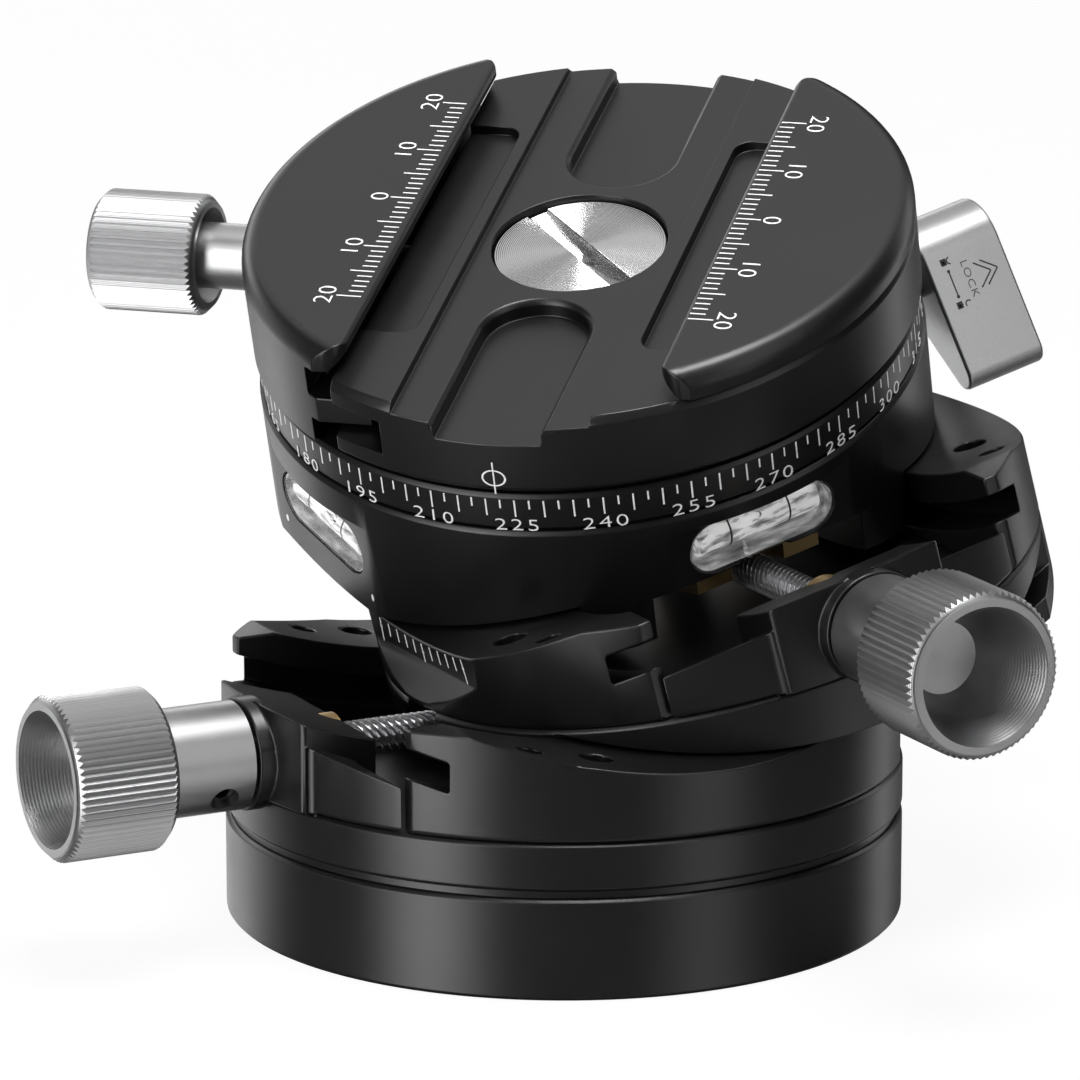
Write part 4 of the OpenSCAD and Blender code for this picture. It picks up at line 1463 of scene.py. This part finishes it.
@dataclass
class Vial:
    """A bubble vial: a clear block in a grey tray, a barrel of fluid, ring marks and a bubble."""

    dresser: Dresser
    places: Places
    name: str
    turn: float
    z: float
    bubble_x: float
    length: float = 17.6
    width: float = 6.1
    depth: float = 4.5
    edge: float = 0.22
    flat_r: float = 34.4
    cover: float = 0.25
    tray_gap: float = 0.3
    tray_foot: float = 0.1
    tray_wall: float = 0.12
    tray_floor: float = 1.5
    barrel_r: float = 2.05
    barrel_l: float = 14.6
    barrel_z: float = 2.1
    barrel_up: float = 0.35
    barrel_sides: int = 40
    barrel_edge: float = 0.205
    bubble_size: Triple = (1.7, 0.8, 0.5)
    bubble_up: float = 0.75
    bubble_sink: float = 0.42
    ring_x: float = 3.6
    ring_w: float = 0.2
    ring_proud: float = 0.04
    ring_deep: float = 0.1
    # Widths of the painted streaks of light on the tray, the fluid and the bubble
    tray_streak: float = 1.2
    fluid_streak: float = 0.8
    bubble_streak: float = 0.5
    # Tones of the painted light that the tray, the fluid and the bubble glow with, light and dark
    # streaks alike
    TRAY: ClassVar[Tones] = (
        (0.3, (0.06, 0.06, 0.06)),
        (0.5, (0.2, 0.2, 0.2)),
        (0.68, (0.45, 0.45, 0.45)),
    )
    FLUID: ClassVar[Tones] = (
        (0.32, (0.16, 0.16, 0.16)),
        (0.44, (0.45, 0.45, 0.46)),
        (0.52, (0.8, 0.8, 0.8)),
        (0.66, (0.95, 0.95, 0.95)),
    )
    BUBBLE: ClassVar[Tones] = (
        (0.38, (0.05, 0.05, 0.05)),
        (0.48, (0.55, 0.55, 0.55)),
        (0.56, (1.0, 1.0, 1.0)),
    )

    def build(self) -> None:
        """Builds the block, the tray, the fluid, the bubble and the ring marks."""
        turn = math.radians(self.turn)
        outward = Vector((math.sin(turn), -math.cos(turn), 0))
        along = Vector((math.cos(turn), math.sin(turn), 0))
        back = outward * (self.flat_r - self.depth) + Vector((0, 0, self.z))
        frame = self.places.top() @ seat(back, along, (0, 0, 1))
        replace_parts(self._add("block", self._block(), frame, "acrylic"), self.name)
        self._glowing("tray", self._tray(), frame, self.TRAY, self.tray_streak)
        self._glowing("fluid", self._barrel(), frame, self.FLUID, self.fluid_streak)
        self._glowing("bubble", self._bubble(), frame, self.BUBBLE, self.bubble_streak)
        for number, side in enumerate((-1, 1), 1):
            self._add(f"ring_{number}", self._ring(side * self.ring_x), frame, "ink")

    def _add(self, part: str, piece: Piece, frame: Matrix, finish: str) -> Piece:
        """Places and finishes one part of the vial.

        Args:
            part: The part's name in the vial.
            piece: The part, modelled in the vial's frame.
            frame: The vial's frame.
            finish: Name of its finish.

        Returns:
            The part.
        """
        whole = Bench.gather([piece], f"{self.name}_{part}", frame)
        return self.dresser.dress(whole, finish, Body.TOP, Slot.VIAL)

    def _glowing(
        self, part: str, piece: Piece, frame: Matrix, tones: Tones, size: float
    ) -> None:
        """Adds a part that glows with painted streaks of light of its own.

        Args:
            part: The part's name in the vial.
            piece: The part, modelled in the vial's frame.
            frame: The vial's frame.
            tones: Colours of the painted streaks of light.
            size: Width of the streaks.
        """
        # Each glowing part gets its own finish of painted light
        look = Streaked(f"{self.name}_{part}_streaks", metres(frame), tones, size)
        self.dresser.finishes[look.name] = look.material()
        self._add(part, piece, frame, look.name)

    @staticmethod
    def _stadium(width: float, length: float, depth: float, z: float) -> Piece:
        """Makes a plate with round ends.

        Args:
            width: Width of the plate.
            length: Its length, round ends and all.
            depth: Its thickness.
            z: Height that it stands on.

        Returns:
            The plate.
        """
        plate = Bench.drum(width / 2, depth, 48, z)
        for side in (-1, 1):
            Bench.choose_points(plate, lambda co: co.x * side > POINT_MM)
            bpy.ops.transform.translate(value=(side * (length - width) / 2, 0, 0))
        Bench.leave()
        return plate

    def _block(self) -> Piece:
        """Makes the clear block.

        Returns:
            The block, with round ends and broken edges.
        """
        block = self._stadium(self.width, self.length, self.depth, 0.0)
        Bench.chamfer(block, self.edge, 2, looks_up)
        return block

    def _tray(self) -> Piece:
        """Makes the tray, grey with painted glow, that the block's sides and back look like from
        outside.

        Returns:
            The tray.
        """
        top = self.depth - self.cover
        width, length = self.width - self.tray_gap, self.length - self.tray_gap
        tray = self._stadium(width, length, top - self.tray_foot, self.tray_foot)
        Bench.choose(tray, looks_up)
        bpy.ops.mesh.inset(thickness=self.tray_wall)
        Bench.pull(self.tray_floor - top)
        Bench.leave()
        return tray

    def _barrel(self) -> Piece:
        """Makes the barrel of fluid.

        Returns:
            The barrel, along X and with broken ends.
        """
        barrel = Bench.drum(self.barrel_r, self.barrel_l, self.barrel_sides, -self.barrel_l / 2)
        Bench.chamfer(barrel, self.barrel_edge, 2, is_end)
        return Bench.put(barrel, self._lay(0.0))

    def _lay(self, x: float) -> Matrix:
        """Returns a frame on the barrel's axis at x, with Z along the barrel."""
        return moved(x, self.barrel_up, self.barrel_z) @ turned(90, "Y")

    def _bubble(self) -> Piece:
        """Makes the bubble.

        Returns:
            The bubble, flattened against the upper side of the barrel.
        """
        Bench.clear()
        bpy.ops.mesh.primitive_uv_sphere_add(segments=24, ring_count=14, radius=1)
        bubble = bpy.context.object
        Bench.edit(bubble)
        bpy.ops.transform.resize(value=self.bubble_size)
        Bench.leave()
        high = self.barrel_z + self.barrel_r - self.bubble_sink
        return Bench.put(bubble, moved(self.bubble_x, self.barrel_up + self.bubble_up, high))

    def _ring(self, x: float) -> Piece:
        """Makes a thin dark band round the barrel.

        Args:
            x: Where it is along the barrel.

        Returns:
            The band.
        """
        outer, inner = self.barrel_r + self.ring_proud, self.barrel_r - self.ring_deep
        band = Bench.drum(outer, self.ring_w, self.barrel_sides, -self.ring_w / 2)
        Bench.cut(band, Bench.drum(inner, 1, self.barrel_sides, -0.5))
        return Bench.put(band, self._lay(x))


@dataclass(frozen=True)
class ScrewSize:
    """Sizes of one kind of screw with a hexagon socket."""

    head_d: float
    head_h: float
    shank_d: float
    shank_l: float
    key: float


@dataclass
class CapScrews:
    """Screws with a hexagon socket that stand for a node of plain screws."""

    dresser: Dresser
    node: str
    frame: Matrix
    body: Body
    spots: tuple[Triple, ...]
    size: ScrewSize
    turn: float = 0.0

    def build(self) -> None:
        """Builds one screw and sets a copy in each place."""
        pattern = self._screw()
        turn = turned(self.turn, "X")
        screws = [Bench.copy(pattern, moved(*spot) @ turn) for spot in self.spots]
        Bench.drop(pattern)
        whole = Bench.gather(screws, f"{self.node}_socketed", self.frame)
        self.dresser.dress(whole, "dark_steel", self.body, Slot.STEEL)
        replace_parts(whole, self.node)

    def _screw(self) -> Piece:
        """Makes one screw.

        Returns:
            The screw, its head standing on the origin and its shank below.
        """
        size = self.size
        head = Bench.drum(size.head_d / 2, size.head_h, 32)
        Bench.chamfer(head, size.head_d * 0.05, 2, looks_up)
        if size.shank_l > 0:
            Bench.choose(head, looks_down)
            bpy.ops.mesh.inset(thickness=(size.head_d - size.shank_d) / 2)
            Bench.pull(-size.shank_l)
            Bench.leave()
        socket = Bench.drum(size.key / math.sqrt(3), size.head_h, 6, size.head_h * 0.4)
        Bench.cut(head, socket)
        return head


@dataclass
class Screws:
    """All the screws with a hexagon socket, on both stages, in the base and in the knobs."""

    dresser: Dresser
    places: Places
    rail_at: Triple = (10.9, 28.4, 2.0)
    base_r: float = 24.0
    base_z: float = 4.0
    grub_x: float = -41.75
    grub_turn: float = 125.0
    grub_z: float = 2.55
    RAIL: ClassVar[ScrewSize] = ScrewSize(3.4, 2.0, 2.0, 5.0, 1.5)
    BASE: ClassVar[ScrewSize] = ScrewSize(7.2, 3.0, 4.0, 11.7, 3.0)
    GRUB: ClassVar[ScrewSize] = ScrewSize(3.0, 2.25, 3.0, 0.0, 1.5)

    def build(self) -> None:
        """Builds the screws of the rails, of the base and of the knobs."""
        lower, upper = self.places.lower_stage(), self.places.upper_stage()
        spots = corners(*self.rail_at)
        for node, stage, body in (
            ("lower_rail_screws", lower, Body.BASE),
            ("upper_rail_screws", upper, Body.MIDDLE),
        ):
            CapScrews(self.dresser, node, stage, body, spots, self.RAIL).build()
        side = self.base_r / math.sqrt(2)
        spots = corners(side, side, self.base_z)
        level = Matrix.Identity(4)
        CapScrews(self.dresser, "base_screws", level, Body.BASE, spots, self.BASE, 180).build()
        stem = moved(self.grub_x, 0, self.places.worm_h) @ turned(self.grub_turn, "X")
        spots = ((0, 0, self.grub_z),)
        for node, stage, body in (
            ("lower_knob_grub_screw", lower, Body.LOWER_DRIVE),
            ("upper_knob_grub_screw", upper, Body.UPPER_DRIVE),
        ):
            CapScrews(self.dresser, node, stage @ stem, body, spots, self.GRUB).build()


@dataclass
class TripodThread:
    """The thread bush in the base, with its thread cut in."""

    dresser: Dresser
    outer_d: float = 14.0
    height: float = 9.0
    edge: float = 0.2
    core_d: float = 7.94
    major_d: float = 9.5
    pitch: float = 1.5875
    steps: int = 36
    sides: int = 72
    ridge_in: float = 0.3
    ridge_share: float = 0.94
    mouth_gap: float = 0.4
    mouth_h: float = 1.6
    mouth_z: float = 0.6

    def build(self) -> None:
        """Builds the bush and cuts a tap out of it."""
        bush = Bench.drum(self.outer_d / 2, self.height, 64)
        Bench.chamfer(bush, self.edge, 1, is_end)
        Bench.cut(bush, Bench.drum(self.core_d / 2, self.height + 2, self.sides, -1))
        Bench.cut(bush, self._tap())
        Bench.cut(bush, self._mouth())
        whole = Bench.gather([bush], "tripod_bush_threaded", Matrix.Identity(4))
        self.dresser.dress(whole, "steel", Body.BASE, Slot.STEEL)
        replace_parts(whole, "tripod_bush")

    def _mouth(self) -> Piece:
        """Makes the cone that opens the mouth of the bore.

        Returns:
            The cone, as a cutter.
        """
        Bench.clear()
        wide = self.major_d / 2 + self.mouth_gap
        bpy.ops.mesh.primitive_cone_add(
            vertices=self.sides,
            radius1=wide,
            radius2=wide - self.mouth_h,
            depth=self.mouth_h,
            location=(0, 0, self.mouth_z),
        )
        bpy.ops.object.transform_apply(location=True, rotation=True, scale=True)
        return bpy.context.object

    def _tap(self) -> Piece:
        """Makes a helical ridge, as a tap leaves it in a bore.

        Returns:
            The ridge, as a cutter.
        """
        Bench.clear()
        bpy.ops.mesh.primitive_circle_add(vertices=3, radius=1, fill_type="NOTHING")
        ridge = bpy.context.object
        inner = self.core_d / 2 - self.ridge_in
        spots = ((inner, -0.5), (self.major_d / 2, 0.0), (inner, 0.5))
        for point, (x, z) in zip(ridge.data.vertices, spots):
            point.co = (x, 0, z * self.pitch * self.ridge_share - self.pitch)
        Bench.modify(
            ridge,
            "SCREW",
            axis="Z",
            angle=2 * math.pi,
            steps=self.steps,
            render_steps=self.steps,
            screw_offset=self.pitch,
            iterations=math.ceil(self.height / self.pitch) + 2,
            use_merge_vertices=True,
            merge_threshold=POINT_MM,
        )
        Bench.edit(ridge)
        bpy.ops.mesh.remove_doubles(threshold=POINT_MM)
        bpy.ops.mesh.fill_holes(sides=4)
        bpy.ops.mesh.select_all(action="SELECT")
        bpy.ops.mesh.normals_make_consistent(inside=False)
        Bench.leave()
        return ridge


@dataclass(frozen=True)
class Softbox:
    """A soft area lamp, in metres and watts."""

    name: str
    spot: Triple
    size: Pair
    power: float
    aim: Triple = (0, 0, 0.04)

    def build(self) -> None:
        """Adds the lamp, facing the point that it aims at."""
        Bench.clear()
        bpy.ops.object.light_add(type="AREA", location=self.spot)
        lamp = bpy.context.object
        lamp.name = self.name
        lamp.data.shape = "RECTANGLE"
        lamp.data.size, lamp.data.size_y = self.size
        lamp.data.energy = self.power
        way = Vector(self.aim) - Vector(self.spot)
        lamp.rotation_euler = way.to_track_quat("-Z", "Y").to_euler()


@dataclass
class Studio:
    """A white sweep, soft lamps and the camera at the photograph's angle."""

    lens: float = 236.1
    sensor: float = 36.0
    eye: Triple = (-0.33182, -0.64497, 0.22137)
    heading: Pair = (0.45436, 0.89082)
    pitch: float = 14.071
    floor_size: float = 6
    white: float = 0.93
    glossy_white: float = 0.02
    paper_dark: float = 0.86
    paper_light: float = 0.88
    paper_rough: float = 0.9
    paper_mm: float = 40.0
    sheen: float = 0.95
    sheen_rough: float = 0.25
    dull: float = 0.08
    grazing: float = 1.3
    world_light: float = 0.012
    LAMPS: ClassVar[tuple[Softbox, ...]] = (
        Softbox("key_softbox", (-0.84, -0.27, 0.27), (0.4, 0.5), 4.3),
        Softbox("left_top_softbox", (-0.58, -0.25, 0.62), (0.3, 0.3), 0.7),
        Softbox("right_softbox", (0.3, -0.78, 0.42), (0.34, 0.8), 1.35),
        Softbox("top_softbox", (0.18, 0.34, 0.86), (1.2, 1.2), 3.3, (0, 0, 0.05)),
        Softbox("over_softbox", (0.0, -0.1, 0.55), (0.22, 0.22), 2.8, (0.01, 0.0, 0.05)),
        Softbox("back_softbox", (0.05, 0.86, 0.36), (0.8, 0.26), 1.6),
        Softbox("left_back_softbox", (-0.42, 0.82, 0.2), (0.5, 0.5), 0.9),
        Softbox("edge_softbox", (0.85, 0.25, 0.3), (0.15, 0.6), 0.7),
    )

    def build(self) -> None:
        """Builds the floor, the world, the lamps and the camera."""
        self._floor()
        self._world()
        for lamp in self.LAMPS:
            lamp.build()
        self._camera()

    @staticmethod
    def _rays(g: Graph) -> dict[str, Field]:
        """Reads which kind of ray looks at a surface.

        Args:
            g: The surface's graph.

        Returns:
            A field for each kind by its name, 1 for a ray of that kind.
        """
        path = g.add("ShaderNodeLightPath", {}, {})
        kinds = ("Camera", "Transmission", "Glossy")
        return {kind: Field(g, path.outputs[f"Is {kind} Ray"]) for kind in kinds}

    def _floor(self) -> None:
        """Builds the white floor, which keeps a faint shadow and shows glossy metal a sheen."""
        Bench.clear()
        bpy.ops.mesh.primitive_plane_add(size=self.floor_size)
        floor = bpy.context.object
        floor.name = "floor"
        g = Graph.named("white_floor")
        rays = self._rays(g)
        seen = self.white * rays["Camera"].most(rays["Transmission"])
        seen = seen.most(self.glossy_white * rays["Glossy"])
        cloud = g.noise(g.place(), self.paper_mm)
        tint = g.shade(cloud, (1, 1, 1), self.paper_dark, self.paper_light)
        look = {"Base Color": tint, "Roughness": self.paper_rough}
        paper = g.field("ShaderNodeBsdfPrincipled", "BSDF", {}, look)
        look = {"Color": (*[self.sheen] * 3, 1), "Roughness": self.sheen_rough}
        sheen = g.field("ShaderNodeBsdfAnisotropic", "BSDF", {}, look)
        dull = g.field("ShaderNodeBsdfDiffuse", "BSDF", {}, {"Color": (*[self.dull] * 3, 1)})
        facing = g.field("ShaderNodeLayerWeight", "Facing", {}, {"Blend": 0.5})
        gloss = g.mix(facing * self.grazing, dull, sheen)
        glow = g.field("ShaderNodeEmission", "Emission", {}, {"Color": (1, 1, 1, 1)})
        surface = g.mix(seen, g.mix(rays["Glossy"], paper, gloss), glow)
        g.add("ShaderNodeOutputMaterial", {}, {"Surface": surface})
        floor.data.materials.append(g.owner)

    def _world(self) -> None:
        """Builds a world that is white to the eye and dim as a light."""
        world = bpy.data.worlds.new("studio_world")
        bpy.context.scene.world = world
        g = Graph(world)
        rays = self._rays(g)
        seen = rays["Camera"].most(rays["Transmission"])
        inputs = {"Value": seen, "To Min": self.world_light, "To Max": 1.0}
        strength = g.field("ShaderNodeMapRange", "Result", {}, inputs)
        inputs = {"Color": (1, 1, 1, 1), "Strength": strength}
        light = g.field("ShaderNodeBackground", "Background", {}, inputs)
        g.add("ShaderNodeOutputWorld", {}, {"Surface": light})

    def _camera(self) -> None:
        """Sets the camera at the photograph's angle."""
        Bench.clear()
        bpy.ops.object.camera_add(location=self.eye)
        camera = bpy.context.object
        camera.name = "camera"
        camera.data.lens = self.lens
        camera.data.sensor_width = self.sensor
        camera.data.sensor_fit = "HORIZONTAL"
        camera.data.clip_start = 0.01
        drop = math.radians(self.pitch)
        level = Vector((*self.heading, 0)).normalized() * math.cos(drop)
        look = level - Vector((0, 0, math.sin(drop)))
        camera.rotation_euler = look.to_track_quat("-Z", "Y").to_euler()
        bpy.context.scene.camera = camera
        bpy.context.scene.view_settings.view_transform = "Standard"


def finishes(places: Places) -> dict[str, bpy.types.Material]:
    """Makes every finish of the head.

    Args:
        places: The head's frames, which turned finishes are centred on.

    Returns:
        The materials by name.
    """
    along_x = turned(90, "Y")
    worm = moved(0, 0, places.worm_h) @ along_x
    lower_axis = metres(places.lower_stage() @ worm)
    upper_axis = metres(places.upper_stage() @ worm)
    clamp_axis = metres(places.clamp() @ moved(0, 0, places.clamp_screw_z) @ along_x)
    silver = (0.4, 0.4, 0.405)
    all_finishes = {
        "black": Blasted("black_anodised", (0.0035, 0.0035, 0.0038)),
        "silver": Blasted("silver_anodised", silver, metallic=1.0, strength=0.12),
        "lower_silver": Turned("lower_knob_silver", silver, lower_axis),
        "upper_silver": Turned("upper_knob_silver", silver, upper_axis),
        "clamp_silver": Turned("clamp_knob_silver", silver, clamp_axis),
        "screw_face": Turned(
            "turned_steel",
            (0.62, 0.62, 0.62),
            metres(places.top()),
            roughness=0.2,
            pitch_mm=0.22,
            depth_mm=0.04,
            strength=0.8,
        ),
        "steel": Bright("steel", (0.55, 0.55, 0.56)),
        "dark_steel": Bright("dark_steel", (0.07, 0.07, 0.075), roughness=0.4),
        "brass": Bright("brass", (0.62, 0.43, 0.2), roughness=0.34),
        "white": Paint("white_ink", (0.86, 0.86, 0.86)),
        "ink": Paint("black_ink", (0.02, 0.02, 0.02)),
        "acrylic": Clear("acrylic", (0.97, 0.98, 0.97)),
    }
    return {name: finish.material() for name, finish in all_finishes.items()}


def main() -> None:
    """Loads the frame and builds every piece."""
    logging.basicConfig(level=logging.INFO, format="%(name)s: %(message)s")
    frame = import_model()
    places = Places()
    dresser = Dresser(frame, finishes(places))
    lower, upper = places.lower_stage(), places.upper_stage()
    for assembly in (
        Solids(dresser),
        DegreeScale(dresser, places),
        JawScale(dresser, places, "left_jaw_scale", Body.JAW, side=-1, inner=17.95),
        JawScale(dresser, places, "right_jaw_scale", Body.CLAMP, side=1, inner=17.66),
        TiltScale(dresser, "upper_tilt_scale", upper, Body.MIDDLE),
        TiltScale(dresser, "lower_tilt_scale", lower, Body.BASE),
        LimitDots(dresser, places),
        LeverSigns(dresser, places),
        Vial(dresser, places, "left_vial", turn=-90, z=44.7, bubble_x=0.9),
        Vial(dresser, places, "front_vial", turn=0, z=47.7, bubble_x=-1.2),
        Screws(dresser, places),
        TripodThread(dresser),
        Studio(),
    ):
        assembly.build()


if __name__ == "__main__":
    main()
